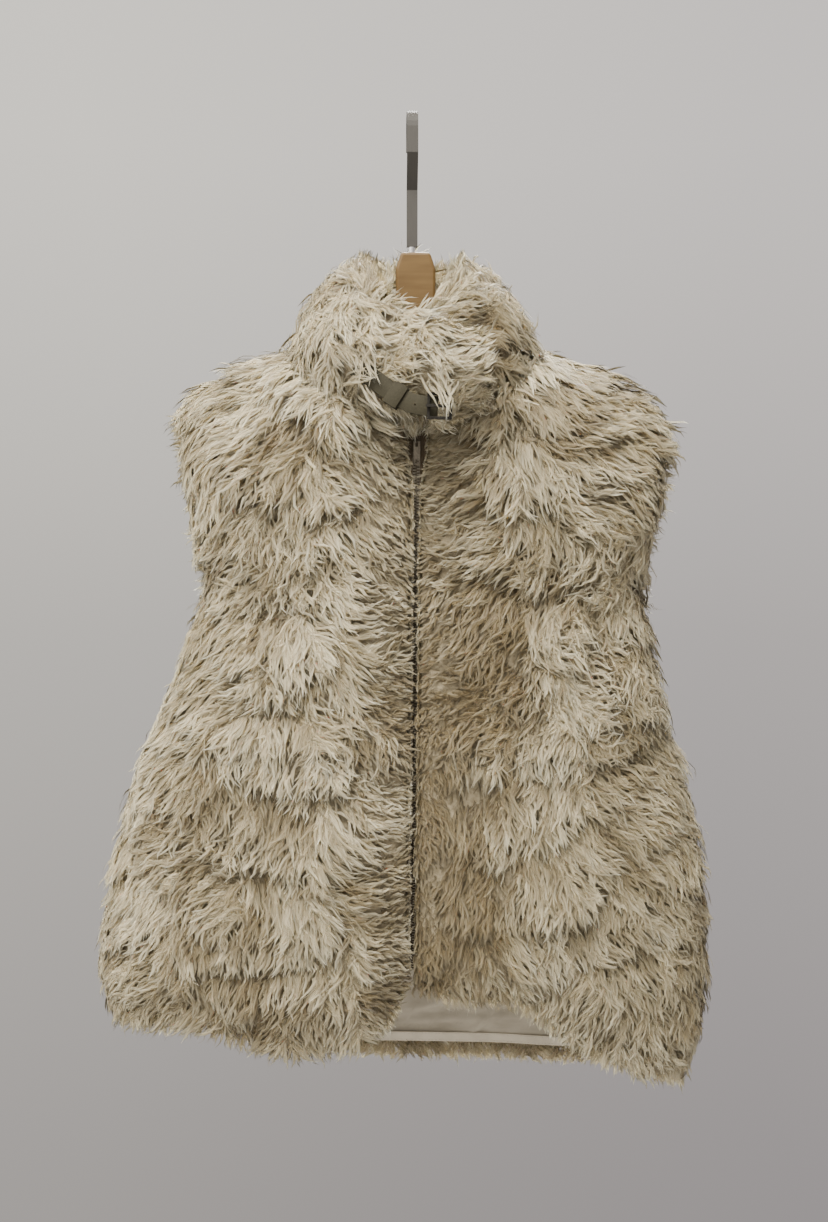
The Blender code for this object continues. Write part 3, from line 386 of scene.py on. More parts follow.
# Creases of the leather: x, z, length, width, turn and depth, which stands out to the inside of the vest
CREASES = {
    "front_left": (
        (-0.110, -0.560, 0.120, 0.012, 70, 0.0028),
        (-0.160, -0.700, 0.100, 0.011, 24, 0.0026),
        (-0.080, -0.360, 0.080, 0.010, 40, 0.0022),
    ),
    "front_right": (
        (0.120, -0.540, 0.120, 0.012, 112, 0.0028),
        (0.170, -0.720, 0.100, 0.011, -20, 0.0026),
        (0.090, -0.350, 0.080, 0.010, 140, 0.0022),
    ),
    "back": (
        (0.010, -0.872, 0.120, 0.0032, 3, 0.0026),
        (-0.055, -0.862, 0.100, 0.0035, -4, 0.0026),
        (0.040, -0.852, 0.080, 0.0040, 7, 0.0028),
        (-0.070, -0.843, 0.090, 0.0045, -7, 0.0028),
        (0.082, -0.866, 0.036, 0.0032, 48, 0.0030),
        (0.055, -0.838, 0.070, 0.0045, 20, 0.0024),
        (0.120, -0.846, 0.080, 0.0050, 12, 0.0026),
        (-0.090, -0.640, 0.140, 0.012, 74, 0.0030),
        (0.100, -0.560, 0.150, 0.013, 104, 0.0030),
        (0.010, -0.440, 0.110, 0.011, 18, 0.0026),
    ),
}
TROUGH_SHARE = 0.7           # depth of the trough beside a crease, as a share of the crease's
TROUGH_PLACE = 1.7           # and how far beside it, in widths
LEATHER_WAVE = 0.0008
LEATHER_WAVE_REACH = 0.11
FINE_LEATHER_TOP = -0.815    # the leather shows under the front hems, and is finer there
FINE_LEATHER_HALF_WIDTH = 0.15
FINE_LEATHER_CUTS = 2
SKIN_THICKNESS = 0.0018
DOWN_SHARE = 0.64            # how far out the down reaches between the leather and the wool's tips

# Zip, strap and stitches
CHAIN_DIGITS = 4             # decimals to which the points of one level of the zip chain agree in height
CHAIN_LEVEL = 0.0003         # points this close to a level give its middle
TEETH_PITCH = 0.00125        # between a tooth and the next one on the other side
TOOTH_REACH = 0.0028
TOOTH_CROSSING = 0.0006
TOOTH_HALF_DEPTH = 0.0011
TOOTH_HALF_HEIGHT = 0.00048
TOOTH_HEAD = 0.75            # share of its thickness that a tooth keeps at its crossing end
SLIDER_SIZE = (0.0095, 0.0058, 0.0130)
SLIDER_CENTRE = (0.00183, -0.05913, -0.2790)
SLIDER_PLATE = 0.0015
SLIDER_WAIST = 0.70          # share of its width that the slider keeps at its lower end
SLIDER_EDGE = 0.0006
CORE_WIDTH, CORE_HEIGHT, CORE_RISE = 0.35, 0.5, 0.22     # shares of the slider's width and height
CORE_EDGE = 0.0005
BRIDGE_RADIUS = 0.0022
BRIDGE_WIRE = 0.00045
BRIDGE_BEHIND = 0.0010
BRIDGE_SEGMENTS, WIRE_SEGMENTS = 32, 10
ROUND_SEGMENTS, PLAIN_SEGMENTS = 3, 2     # of the edges that show most and of the others
TAB_SIZE = (0.0062, 0.0014, 0.0200)
TAB_HINGE = (0.00183, -0.06333, -0.2770)
TAB_TOP = 0.0007             # the tab reaches this far above its hinge
TAB_EDGE = 0.0005
TAB_SLOT = (0.0024, 0.0034)  # width and height
TAB_SLOT_START = 0.0008
TAB_WINDOW = 0.0033
TAB_WINDOW_MARGIN = 0.0013
CUTTER_DEPTH = 4.0           # in depths of the tab
SMOOTH_ANGLE = math.radians(40)      # edges flatter than this are shaded smooth
ROUNDED_ANGLE = math.radians(50)     # edges sharper than this are rounded on the strap and the buckle
STRAP_HOLE = (-0.0015, -0.2510)      # x and z
STRAP_HOLE_RADIUS = 0.0009
STRAP_HOLE_SIDES = 24
STRAP_HOLE_DEPTH = 0.012
STRAP_VIEWER = -0.2          # y from which the strap's front is looked for
STITCH_PITCH = 0.0036
STITCH_LENGTH = 0.0025
STITCH_THICKNESS = 0.0006
STITCH_INSET = 0.0013
STITCH_ENDS = 0.03           # the rows stop this far from the ends of the band
STITCH_STEP = 0.0005         # between places tried for the edges of the band
STITCH_VIEWER = -0.03
STITCH_RINGS = ((-0.4, 1.0), (0.6, 0.7))     # height in thicknesses and size of a stitch's foot and top

Rounded = namedtuple("Rounded", "node name edge finish slot")
ROUNDED = (
    Rounded("throat_strap", "strap", 0.0004, "shaded_strap_leather", "strap_leather"),
    Rounded("strap_keeper", "keeper", 0.0004, "shaded_strap_leather", "strap_leather"),
    Rounded("buckle_frame", "buckle", 0.0005, "gunmetal", "buckle_metal"),
    Rounded("buckle_prong", "prong", 0.0004, "gunmetal", "buckle_metal"),
)

# Finishes: scale is one number, or three where the noise is stretched along an axis
WHITE = (1.0, 1.0, 1.0)
Finish = namedtuple("Finish", "scale low high roughness bump bump_distance metallic shine")
FINISHES = {
    # Painted shade: the down between the locks is painted dark, as the shade deep in the wool
    "shaded_wool_down": Finish(320.0, (0.18, 0.147, 0.09), (0.29, 0.245, 0.16), 0.95, 0.8, 0.002, 0.0, 0.1),
    # Lit and shaded copies of one leather: the leather inside the vest is painted darker, as the shade under
    # the fronts, and the hem's facing below is its lit copy, painted lighter.
    "cream_leather": Finish((26.0, 50.0, 70.0), (0.26, 0.23, 0.174), (0.37, 0.33, 0.258),
                            0.78, 0.5, 0.0016, 0.0, 0.2),
    "lit_leather": Finish(60.0, (0.40, 0.355, 0.277), (0.50, 0.445, 0.352), 0.75, 0.3, 0.0008, 0.0, 0.2),
    "brown_tape": Finish((900.0, 900.0, 260.0), (0.10, 0.076, 0.048), (0.165, 0.127, 0.085),
                         0.9, 0.5, 0.0003, 0.0, 0.1),
    # Painted shade: the brass of the zip's teeth and slider is painted very dark, as the shade of the groove
    # in the wool
    "shaded_brass": Finish(420.0, (0.048, 0.038, 0.025), (0.085, 0.067, 0.045), 0.85, 0.1, 0.0002, 0.0, 0.1),
    "worn_brass": Finish(700.0, (0.085, 0.071, 0.050), (0.150, 0.127, 0.092), 0.5, 0.1, 0.0002, 0.5, 0.5),
    # Painted shade: the pale cream leather of the strap and keeper is painted very dark, as the shade under
    # the collar's wool
    "shaded_strap_leather": Finish(900.0, (0.021, 0.0185, 0.011), (0.032, 0.0285, 0.0175),
                                  0.7, 0.35, 0.0003, 0.0, 0.1),
    "gunmetal": Finish(500.0, (0.008, 0.007, 0.0055), (0.018, 0.016, 0.013), 0.7, 0.1, 0.0002, 0.0, 0.1),
    "light_wood": Finish((18.0, 160.0, 160.0), (0.075, 0.042, 0.0125), (0.115, 0.069, 0.0235),
                         0.5, 0.08, 0.0004, 0.0, 0.2),
    "brushed_steel": Finish((3000.0, 60.0, 60.0), (0.035, 0.0325, 0.0285), (0.045, 0.0415, 0.0365),
                            0.6, 0.05, 0.0002, 0.0, 0.2),
    "chrome": Finish(300.0, (0.52, 0.51, 0.50), (0.60, 0.59, 0.58), 0.14, 0.02, 0.0001, 1.0, 0.5),
    "pale_thread": Finish(1500.0, (0.40, 0.355, 0.27), (0.52, 0.47, 0.37), 0.8, 0.3, 0.0002, 0.0, 0.5),
    "pale_floor": Finish(6.0, (0.62, 0.60, 0.58), (0.68, 0.66, 0.64), 0.8, 0.0, 0.001, 0.0, 0.5),
}
NOISE_STOPS = (0.3, 0.7)     # places of the two tones on the noise
NOISE_DETAIL = 5.0
DRESSED = {
    # the hem's facing gets the lit copy of the leather, painted lighter
    "back_hem_facing": "lit_leather",
    "zip_tape_left": "brown_tape",
    "zip_tape_right": "brown_tape",
    "hanger": "light_wood",
    "hanger_hook": "brushed_steel",
    "hanger_pin": "chrome",
}
WOOL_SHADING = {
    "Roughness": 0.62,
    "Sheen Weight": 0.12,
    "Sheen Roughness": 0.4,
    "Sheen Tint": (1.0, 0.93, 0.80, 1.0),
    "Specular IOR Level": 0.3,
    "Subsurface Weight": 0.85,       # share of the light that spreads from lock to lock
    "Subsurface Radius": (1.0, 0.9, 0.75),
    "Subsurface Scale": 0.006,
}
# Painted shade and painted highlight: the roots are painted dark as the shade deep in the wool, and the tips
# near white as a painted highlight, partly also the wool's own paler tips.
WOOL_ALONG = ((0.0, (0.226, 0.192, 0.121)), (0.45, (0.335, 0.297, 0.202)),     # from root to tip
              (0.80, (0.482, 0.447, 0.327)), (1.0, (0.92, 0.895, 0.76)))
WOOL_TINTS = ((0.05, (0.37, 0.327, 0.262)), (0.5, (0.665, 0.645, 0.600)), (0.95, WHITE))
WOOL_STREAKS = ((0.30, (0.70, 0.67, 0.61)), (0.70, WHITE))
STREAK_SCALE = (60.0, 2.5, 1.0)      # streaks of the wool across and along its UV map
STREAK_DETAIL = 2.0

# Stage
CAMERA_PLACE = (-0.0266, -0.81, -0.3091)
CAMERA_LOOK = (0.0345, 0.98867, -0.14608)
CAMERA_SENSOR = 36.0         # in millimetres, as the lens
CAMERA_LENS = 26.0
CAMERA_NEAR = 0.01
Light = namedtuple("Light", "name place target size power colour")
LIGHTS = (
    Light("ceiling_light", (-0.5, -1.0, 1.3), (0.0, 0.0, -0.5), 1.2, 147.0, (1.0, 0.965, 0.90)),
    Light("front_light", (-0.4, -1.9, -0.1), (0.0, 0.0, -0.5), 1.6, 10.0, (1.0, 0.97, 0.92)),
    Light("floor_bounce", (0.1, -1.1, -1.75), (0.0, 0.0, -0.6), 1.3, 10.0, (1.0, 0.96, 0.90)),
    Light("side_light", (-1.8, -0.2, -0.2), (0.0, 0.0, -0.5), 1.4, 24.0, (1.0, 0.97, 0.92)),
    Light("back_light", (0.2, 1.3, 1.2), (0.0, 0.0, -0.5), 1.0, 135.0, (1.0, 0.97, 0.92)),
)
ROOM_TONES = (               # from below to above, and from left to right
    ("Z", ((0.0, (0.30, 0.28, 0.265)), (0.20, (0.44, 0.41, 0.39)), (0.42, (0.64, 0.605, 0.56)),
           (0.66, (1.02, 0.97, 0.885)), (1.0, (1.10, 1.05, 0.96)))),
    ("X", ((0.36, WHITE), (0.68, (0.84, 0.83, 0.87)))),
)
FLOOR_RADIUS = 0.70
FLOOR_SIDES = 96
FLOOR_PLACE = (0.0, 0.0, -1.90)


# Arrays

def unit(vectors):
    return vectors / np.maximum(np.linalg.norm(vectors, axis=-1, keepdims=True), 1e-9)


def flat_on(vectors, normals):
    """Unit vectors laid into the planes that the normals stand on."""
    return unit(vectors - normals * np.sum(vectors * normals, axis=-1, keepdims=True))


def ripple(points, scale, seed):
    """Smooth uneven field, mostly between -1 and 1, that changes over the given distance."""
    draw = np.random.default_rng(seed)
    total = np.zeros(len(points))
    for _ in range(RIPPLES):
        direction = unit(draw.normal(size=3)) * FULL_TURN / (scale * draw.uniform(*RIPPLE_LENGTHS))
        total += np.sin(points @ direction + draw.uniform(0.0, FULL_TURN))
    return total / math.sqrt(RIPPLES)


def beside_line(points, x, z, turn):
    """How far points are along and across a line in the XZ plane that is turned from level by degrees."""
    turn = math.radians(turn)
    aside, above = points[:, 0] - x, points[:, 2] - z
    along = aside * math.cos(turn) + above * math.sin(turn)
    return along, above * math.cos(turn) - aside * math.sin(turn)


# Reading a panel of the frame

def read_node(name):
    """Merged points and triangles of a CAD node."""
    shape = bmesh.new()
    shape.from_mesh(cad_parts[name].data)
    bmesh.ops.remove_doubles(shape, verts=shape.verts, dist=MERGE)
    shape.verts.index_update()
    points = np.array([tuple(v.co) for v in shape.verts])
    faces = np.array([[v.index for v in face.verts] for face in shape.faces])
    shape.free()
    return points, faces


def tree_of(points, faces):
    return BVHTree.FromPolygons([tuple(p) for p in points], [tuple(int(i) for i in f) for f in faces])


def tree_of_all_nodes():
    all_points, all_faces, start = [], [], 0
    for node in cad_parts:
        points, faces = read_node(node)
        all_points.append(points)
        all_faces.append(faces + start)
        start += len(points)
    return tree_of(np.concatenate(all_points), np.concatenate(all_faces))


def nearest(tree, places):
    """The tree's nearest point to each place."""
    return np.array([tuple(tree.find_nearest(Vector(p))[0]) for p in places])


def face_crosses(points, faces):
    corners = points[faces]
    return np.cross(corners[:, 1] - corners[:, 0], corners[:, 2] - corners[:, 0])


def flat_normals(points, faces):
    return unit(face_crosses(points, faces))


def smooth_normals(points, faces):
    face_normals = face_crosses(points, faces)
    normals = np.zeros_like(points)
    for k in range(3):
        np.add.at(normals, faces[:, k], face_normals)
    return unit(normals)


def stands_outside(panel, tree, point):
    """Whether a point of a wool wall is on its outside, which sees out, or on its leather side."""
    if panel.face is not None:
        look = Vector((0.0, panel.face, LOOK_DROP)).normalized()
    else:
        look = Vector((point[0], point[1] - COLLAR_CENTRE, 0.0)).normalized()
        depth = NECK_SEAM_FRONT if point[1] < 0.0 else NECK_SEAM_BACK
        oval = (point[0] / NECK_SEAM_HALF_WIDTH) ** NECK_SEAM_POWER + (point[1] / depth) ** NECK_SEAM_POWER
        if point[2] < NECK_SEAM_TOP and oval < NECK_SEAM_LIMIT:
            return False
    return tree.ray_cast(Vector(point) + look * LOOK_GAP, look)[0] is None


Wall = namedtuple("Wall", "points outside skin_faces wool_faces open_rims seam_rims skin_tree")


def read_wall(panel, others):
    """Sorts a wool wall into its leather side, its wool side and the open and sewn rims between them."""
    points, faces = read_node(panel.node)
    tree = tree_of(points, faces)
    outside = np.array([stands_outside(panel, tree, p) for p in points])
    count = outside[faces].sum(axis=1)
    skin_faces = faces[count == 0]
    rims = faces[(count == 1) | (count == 2)]
    sewn = np.zeros(len(rims), dtype=bool)
    for index, normal in enumerate(flat_normals(points, rims)):
        middle = points[rims[index]].mean(axis=0)
        hit = others.ray_cast(Vector(middle + normal * RIM_LOOK_GAP), Vector(normal), NEIGHBOUR)
        sewn[index] = hit[0] is not None
    return Wall(points, outside, skin_faces, faces[count == 3], rims[~sewn], rims[sewn],
                tree_of(points, skin_faces))


# Wool

def even_places(points, normals, faces, gap, draw):
    """Random places on triangles that keep at least the gap between them, with their normals."""
    corners = points[faces]
    areas = 0.5 * np.linalg.norm(face_crosses(points, faces), axis=1)
    count = int(PLACE_TRIES * areas.sum() / gap ** 2)
    chosen = draw.choice(len(faces), size=count, p=areas / areas.sum())
    a, b = draw.random(count), draw.random(count)
    over = a + b > 1.0
    a[over], b[over] = 1.0 - a[over], 1.0 - b[over]
    weights = np.stack((1.0 - a - b, a, b), axis=1)[:, :, None]
    places = np.sum(corners[chosen] * weights, axis=1)
    facing = unit(np.sum(normals[faces[chosen]] * weights, axis=1))
    kept = thin_out(places, gap)
    return places[kept], facing[kept]


def point_tree(places):
    tree = KDTree(len(places))
    for index, place in enumerate(places):
        tree.insert(place, index)
    tree.balance()
    return tree


def thin_out(places, gap):
    """Indices of places that keep at least the gap between them."""
    tree = point_tree(places)
    free = np.ones(len(places), dtype=bool)
    kept = []
    for index, place in enumerate(places):
        if free[index]:
            kept.append(index)
            for _, near, _ in tree.find_range(place, gap):
                free[near] = False
    return np.array(kept)


def loose_locks(draw):
    """Places, normals and angles of the loose locks over the strap and the buckle and in the tongue."""
    points, faces = read_node("throat_strap")
    front = faces[flat_normals(points, faces)[:, 1] < STRAP_FRONT]
    over, over_facing = even_places(points, smooth_normals(points, front), front, STRAP_COVER_GAP, draw)
    hidden = over[:, 0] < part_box("strap_keeper")[0][0]
    over, over_facing = over[hidden], over_facing[hidden]
    over = over + over_facing * STRAP_COVER_RISE
    low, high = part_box("buckle_frame")
    wisps = np.stack((
        draw.uniform(BUCKLE_WISP_START, high[0], BUCKLE_WISPS),
        np.full(BUCKLE_WISPS, low[1] - BUCKLE_WISP_RISE),
        draw.uniform(low[2] - BUCKLE_WISP_DROP, low[2] + BUCKLE_WISP_DROP, BUCKLE_WISPS)), axis=1)
    fall = draw.random(TONGUE_LOCKS)
    aside = TONGUE_HALF_WIDTH * (1.0 - fall) * draw.uniform(-1.0, 1.0, TONGUE_LOCKS)
    y, z = (top + fall * (point - top) for top, point in zip(TONGUE_TOP, TONGUE_POINT))
    tongue = np.stack((TONGUE_MIDDLE + aside, y, z), axis=1)
    to_viewer = np.tile((0.0, -1.0, 0.0), (BUCKLE_WISPS + TONGUE_LOCKS, 1))
    places = np.concatenate((over, wisps, tongue))
    angles = np.concatenate((np.full(len(over), STRAP_COVER_ANGLE),
                             draw.normal(0.0, BUCKLE_WISP_SPREAD, BUCKLE_WISPS),
                             np.arctan2(-aside, TONGUE_LENGTH)))
    return places, np.concatenate((over_facing, to_viewer)), angles


Tips = namedtuple("Tips", "places facing loose on_rim")


def lock_tips(panel, wall, draw):
    """Places where locks of wool end, their normals, the angle of loose ones and which are on a rim.

    The angle of locks that aren't loose is not a number.
    """
    groups = []
    rim_gap = panel.gap * (BACK_RIM_GAP if panel.face == BACK else RIM_GAP)
    for faces, gap in ((wall.wool_faces, panel.gap), (wall.open_rims, rim_gap)):
        places, facing = even_places(wall.points, smooth_normals(wall.points, faces), faces, gap, draw)
        groups.append((places, facing, np.full(len(places), np.nan)))
    if panel.node == "collar_left":
        groups.append(loose_locks(draw))
    kind = np.repeat(np.arange(len(groups)), [len(places) for places, _, _ in groups])
    return Tips(*(np.concatenate(values) for values in zip(*groups)), kind == 1)


def hides_strap(line):
    """Which locks pass over the stretch where the strap shows."""
    points, _ = read_node("throat_strap")
    start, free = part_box("strap_keeper")[0][0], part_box("strap_keeper")[1][0]
    slices = np.arange(start, STRAP_VIEW_END, STRAP_SLICE)
    beside = [points[np.abs(points[:, 0] - x) < STRAP_SLICE] for x in slices]
    x, y, z = line[:, :, 0], line[:, :, 1], line[:, :, 2]
    top = np.interp(x, slices, [near[:, 2].max() for near in beside])
    foot = np.interp(x, slices, [near[:, 2].min() for near in beside])
    behind = np.interp(x, slices, [near[:, 1].max() for near in beside])
    over = (x > start) & (x < STRAP_VIEW_END) & (z > foot)
    over &= z < top + np.where(x < free, -STRAP_TOP_COVER, STRAP_TOP_GAP)
    over &= (y < behind) | (z > top)
    return over.any(axis=1)


def outward(panel, places):
    """Level directions from the middle of the vest to its outside."""
    if panel.face is not None:
        return np.tile((0.0, panel.face, 0.0), (len(places), 1))
    return unit(places * (1.0, 1.0, 0.0))


def curliness(panel, places):
    total = np.zeros(len(places))
    for x, z, reach, strength in CURLS.get(panel.node, ()):
        distance = np.hypot(places[:, 0] - x, places[:, 2] - z)
        total = np.maximum(total, strength * np.exp(-(distance / reach) ** 2))
    return total


def comb_angles(panel, places, curly, draw):
    """Angle of each lock from straight down, from the combed directions nearby and some unevenness."""
    sines, cosines = np.zeros(len(places)), np.zeros(len(places))
    for x, z, angle in COMBS[panel.node]:
        distance = np.hypot(places[:, 0] - x, places[:, 2] - z)
        weight = np.exp(-0.5 * (distance / COMB_REACH) ** 2) + COMB_FAR / (distance + COMB_FAR_GAP)
        sines += weight * math.sin(math.radians(angle))
        cosines += weight * math.cos(math.radians(angle))
    angles = np.arctan2(sines, cosines)
    uneven = 1.0 + CURLY_TURN * curly
    angles += COMB_WIDE_TURN * uneven * ripple(places, COMB_WIDE_REACH, panel.seed + COMB_WIDE_SEED)
    angles += COMB_FINE_TURN * uneven * ripple(places, COMB_FINE_REACH, panel.seed + COMB_FINE_SEED)
    return angles + COMB_LOOSE_TURN * draw.normal(size=len(places))


def combed(angles, facing):
    """Directions that lie on the surface and are turned from straight down by the angles."""
    hang = np.stack((np.sin(angles), np.zeros(len(angles)), -np.cos(angles)), axis=1)
    return flat_on(hang, facing)


def parting_lift(panel, places):
    """How far partings near each place lift the wool above them and sink it below them."""
    total = np.zeros(len(places))
    for x, z, length, turn in PARTINGS.get(panel.node, ()):
        along, across = beside_line(places, x, z, turn)
        strength = np.exp(-(along / (LINE_ENDS * length)) ** 2)
        for change, (middle, width) in ((PARTING_RISE, PARTING_RISE_AT), (-PARTING_SINK, PARTING_SINK_AT)):
            total += change * strength * np.exp(-((across - middle) / width) ** 2)
    return total


def patches_at(panel, places):
    """Change of tint, in places painted shade and painted light, and sinking of the wool at each place."""
    change, sink = np.zeros(len(places)), np.zeros(len(places))
    for x, z, half_width, half_height, patch_change, patch_sink in PATCHES[panel.node]:
        aside = np.abs((places[:, 0] - x) / half_width)
        above = np.abs((places[:, 2] - z) / half_height)
        share = np.exp(-aside ** PATCH_SIDE_POWER - above ** PATCH_END_POWER)
        change += patch_change * share
        sink += patch_sink * share
    return change, sink


Tufts = namedtuple("Tufts", "beside before tint turn phase")


def gather_tufts(places, comb, facing, gap, draw):
    """Groups the locks round even middles, which share a turn, a tint and their waves.

    A lock's place in its tuft is given beside and before the middle, in gaps.
    """
    middles = places[thin_out(places, gap)]
    tree = point_tree(middles)
    member = np.array([tree.find(Vector(p))[1] for p in places])
    offset = (places - middles[member]) / gap
    beside = np.sum(offset * np.cross(comb, facing), axis=1)
    before = np.sum(offset * comb, axis=1)
    count = len(middles)
    return Tufts(beside, before, draw.normal(size=count)[member], draw.normal(size=count)[member],
                 draw.uniform(0.0, FULL_TURN, count)[member])


def mound_height(group, shape):
    """Height of each lock in its puff or tuft, as a share of the rise."""
    return shape.slope * group.before + shape.middle - shape.fall * group.beside ** 2


def edge_cover(wall_points, rims, reach, places, comb):
    """How much further the tips reach where a lock is combed towards an edge close by, 0 to 1."""
    towards = nearest(tree_of(wall_points, rims), places) - places
    distance = np.linalg.norm(towards, axis=1)
    pointing = np.clip(np.sum(unit(towards) * comb, axis=1) + COVER_AT_SIDE, 0.0, 1.0)
    pointing[distance < EDGE_TOUCH] = 1.0
    return np.clip(1.0 - distance / reach, 0.0, 1.0) * pointing


def cover(panel, wall, places, comb, facing):
    """Moves of the tips that hang over seams and free edges."""
    sewn = edge_cover(wall.points, wall.seam_rims, SEAM_COVER, places, comb)
    free = edge_cover(wall.points, wall.open_rims, 2.0 * RIM_COVER, places, comb)
    if panel.face == FRONT:
        free *= np.clip(np.abs(places[:, 0]) / ZIP_REACH, ZIP_COVER, 1.0)
    along = SEAM_COVER * sewn + RIM_COVER * free
    lift = SEAM_COVER_LIFT if panel.face else COLLAR_COVER_LIFT
    return comb * along[:, None] + facing * (lift * sewn)[:, None]


def lock_roots(panel, wall, tips, comb, depth, draw):
    """Places on the leather where the locks grow."""
    length = LOCK_LENGTH * np.clip(depth / FULL_WOOL, *LENGTH_BY_DEPTH)
    length = length * draw.uniform(*LENGTH_SPREAD, len(depth))
    if panel.face == FRONT:
        length *= np.clip(np.abs(tips.places[:, 0]) / ZIP_SHORT, ZIP_SHORTEST, 1.0)
    reach = tips.places - comb * (length * np.where(tips.on_rim, RIM_LENGTH, 1.0))[:, None]
    reach -= tips.facing * np.where(tips.on_rim, 0.0, depth)[:, None]
    return nearest(wall.skin_tree, reach)


def lock_waves(share, aside, facing, depth, curly, phase, draw):
    """Waves of the locks, which go sideways and less far in and out, and grow to the tips."""
    count = len(depth)
    height = WAVE_HEIGHT * (1.0 + CURLY_HEIGHT * curly) * draw.uniform(*WAVE_HEIGHT_SPREAD, count)
    height = height * np.clip(depth / FULL_WOOL, *WAVE_BY_DEPTH)
    turns = WAVES_IN_LOCK * draw.uniform(*WAVES_SPREAD, count) * (1.0 + CURLY_WAVES * curly)
    phase = phase + WAVE_OFFSET * draw.normal(size=count)
    swing = FULL_TURN * turns[:, None] * share + phase[:, None]
    grow = height[:, None] * share ** WAVE_GROWTH
    sideways = aside[:, None] * (grow * np.sin(swing))[:, :, None]
    return sideways, facing[:, None] * (WAVE_DEPTH * grow * np.cos(swing))[:, :, None]


Locks = namedtuple("Locks", "line puff fullness tint start")


def lock_lines(panel, wall, tips, draw):
    """Centre lines of the locks from the leather to their tips, and what else describes them."""
    places, facing, loose, on_rim = tips
    count = len(places)
    curly = curliness(panel, places)
    angles = comb_angles(panel, places, curly, draw)
    hung = ~np.isnan(loose)
    angles[hung] = loose[hung]
    comb = combed(angles, facing)
    puffs = gather_tufts(places, comb, facing, PUFF_GAP, draw)
    tufts = gather_tufts(places, comb, facing, TUFT_GAP, draw)
    comb = combed(angles + TUFT_TURN * (panel.mess + curly) * (tufts.turn + PUFF_TURN * puffs.turn), facing)
    aside = np.cross(comb, facing)
    depth = np.linalg.norm(places - nearest(wall.skin_tree, places), axis=1)
    fullness = np.clip(depth / FULL_WOOL, FULLNESS_LEAST, 1.0)
    root = lock_roots(panel, wall, tips, comb, depth, draw)

    puffed = PUFF_LEAST + (1.0 - PUFF_LEAST) * 0.5 * (1.0 + np.cos(puffs.phase))
    lift = PUFF_RISE * puffed * mound_height(puffs, PUFF_SHAPE) * fullness
    lift += TUFT_RISE * mound_height(tufts, TUFT_SHAPE) * fullness
    uneven = ripple(places, MESS_REACH, panel.seed + MESS_SEED)
    lift += panel.mess * (MESS_RISE * draw.normal(size=count) + MESS_WAVE * uneven)
    lift += parting_lift(panel, places)
    change, sink = patches_at(panel, places)
    tint = TINT_BY_TUFT * tufts.tint + TINT_BY_PUFF * puffs.tint
    # Painted shade: wool sunk in partings and between puffs and tufts is painted darker, and raised wool
    # lighter
    tint += PAINTED_SHADE_BY_RISE * np.clip(lift / PAINTED_SHADE_RISE, *PAINTED_SHADE_RISES)
    # Painted light on the rims, and the patches' change of tint, which is painted light and shade in places
    tint += change + np.where(on_rim, RIM_PAINTED_LIGHT, 0.0)
    stray = draw.random(count) < STRAY_SHARE
    lift -= sink
    lift += np.where(stray, STRAY_RISE * draw.random(count), 0.0)
    lift *= np.where(on_rim, RIM_LIFT, 1.0)
    lift[hung] = LOOSE_RISE * draw.random(hung.sum())

    bulge = (2.0 * PUFF_SHAPE.fall * PUFF_RISE / PUFF_GAP * puffs.beside
             + 2.0 * TUFT_SHAPE.fall * TUFT_RISE / TUFT_GAP * tufts.beside)
    puff = unit(facing + aside * bulge[:, None] - comb * PUFF_LEAN)
    puff[on_rim] = unit(puff[on_rim] + outward(panel, places[on_rim]))

    curl = CURL_ASIDE * (1.0 + CURLY_ASIDE * curly) * draw.normal(size=count)
    lean = TUFT_PULL * TUFT_GAP * (TUFT_TIP * comb - aside * tufts.beside[:, None])
    lean += cover(panel, wall, places, comb, facing)
    lean[hung] = 0.0
    tip = places + facing * lift[:, None] + aside * curl[:, None] + lean
    climb = np.where(on_rim, RIM_RISE, depth)[:, None]
    span = np.linalg.norm(places - root, axis=1)[:, None]
    first = root + facing * LOCK_CLIMB * climb + (places - root) * LOCK_FORWARD
    second = tip - comb * TIP_RUN * span + facing * TIP_ARCH
    share = np.linspace(LOCK_START, 1.0, LOCK_RINGS)[None, :, None]
    line = ((1 - share) ** 3 * root[:, None] + 3 * share * (1 - share) ** 2 * first[:, None]
            + 3 * share ** 2 * (1 - share) * second[:, None] + share ** 3 * tip[:, None])
    for wave in lock_waves(share[:, :, 0], aside, facing, depth, curly, tufts.phase, draw):
        line += wave
    return Locks(line, puff, fullness, tint, np.where(on_rim, RIM_LIT_START, 0.0))


def body_and_strands(panel, body, strand):
    """One value for the wide body of a lock and another for each of its fine strands."""
    return np.array([body] + [strand] * (panel.strands - 1))


def end_in_point(sides, middles):
    """Both sides of every ring of the strands but the last, and then the middle of the last."""
    count = sides.shape[0] * sides.shape[1]
    return np.concatenate((sides.reshape(count, -1, 3), middles[:, :, -1].reshape(count, 1, 3)), axis=1)


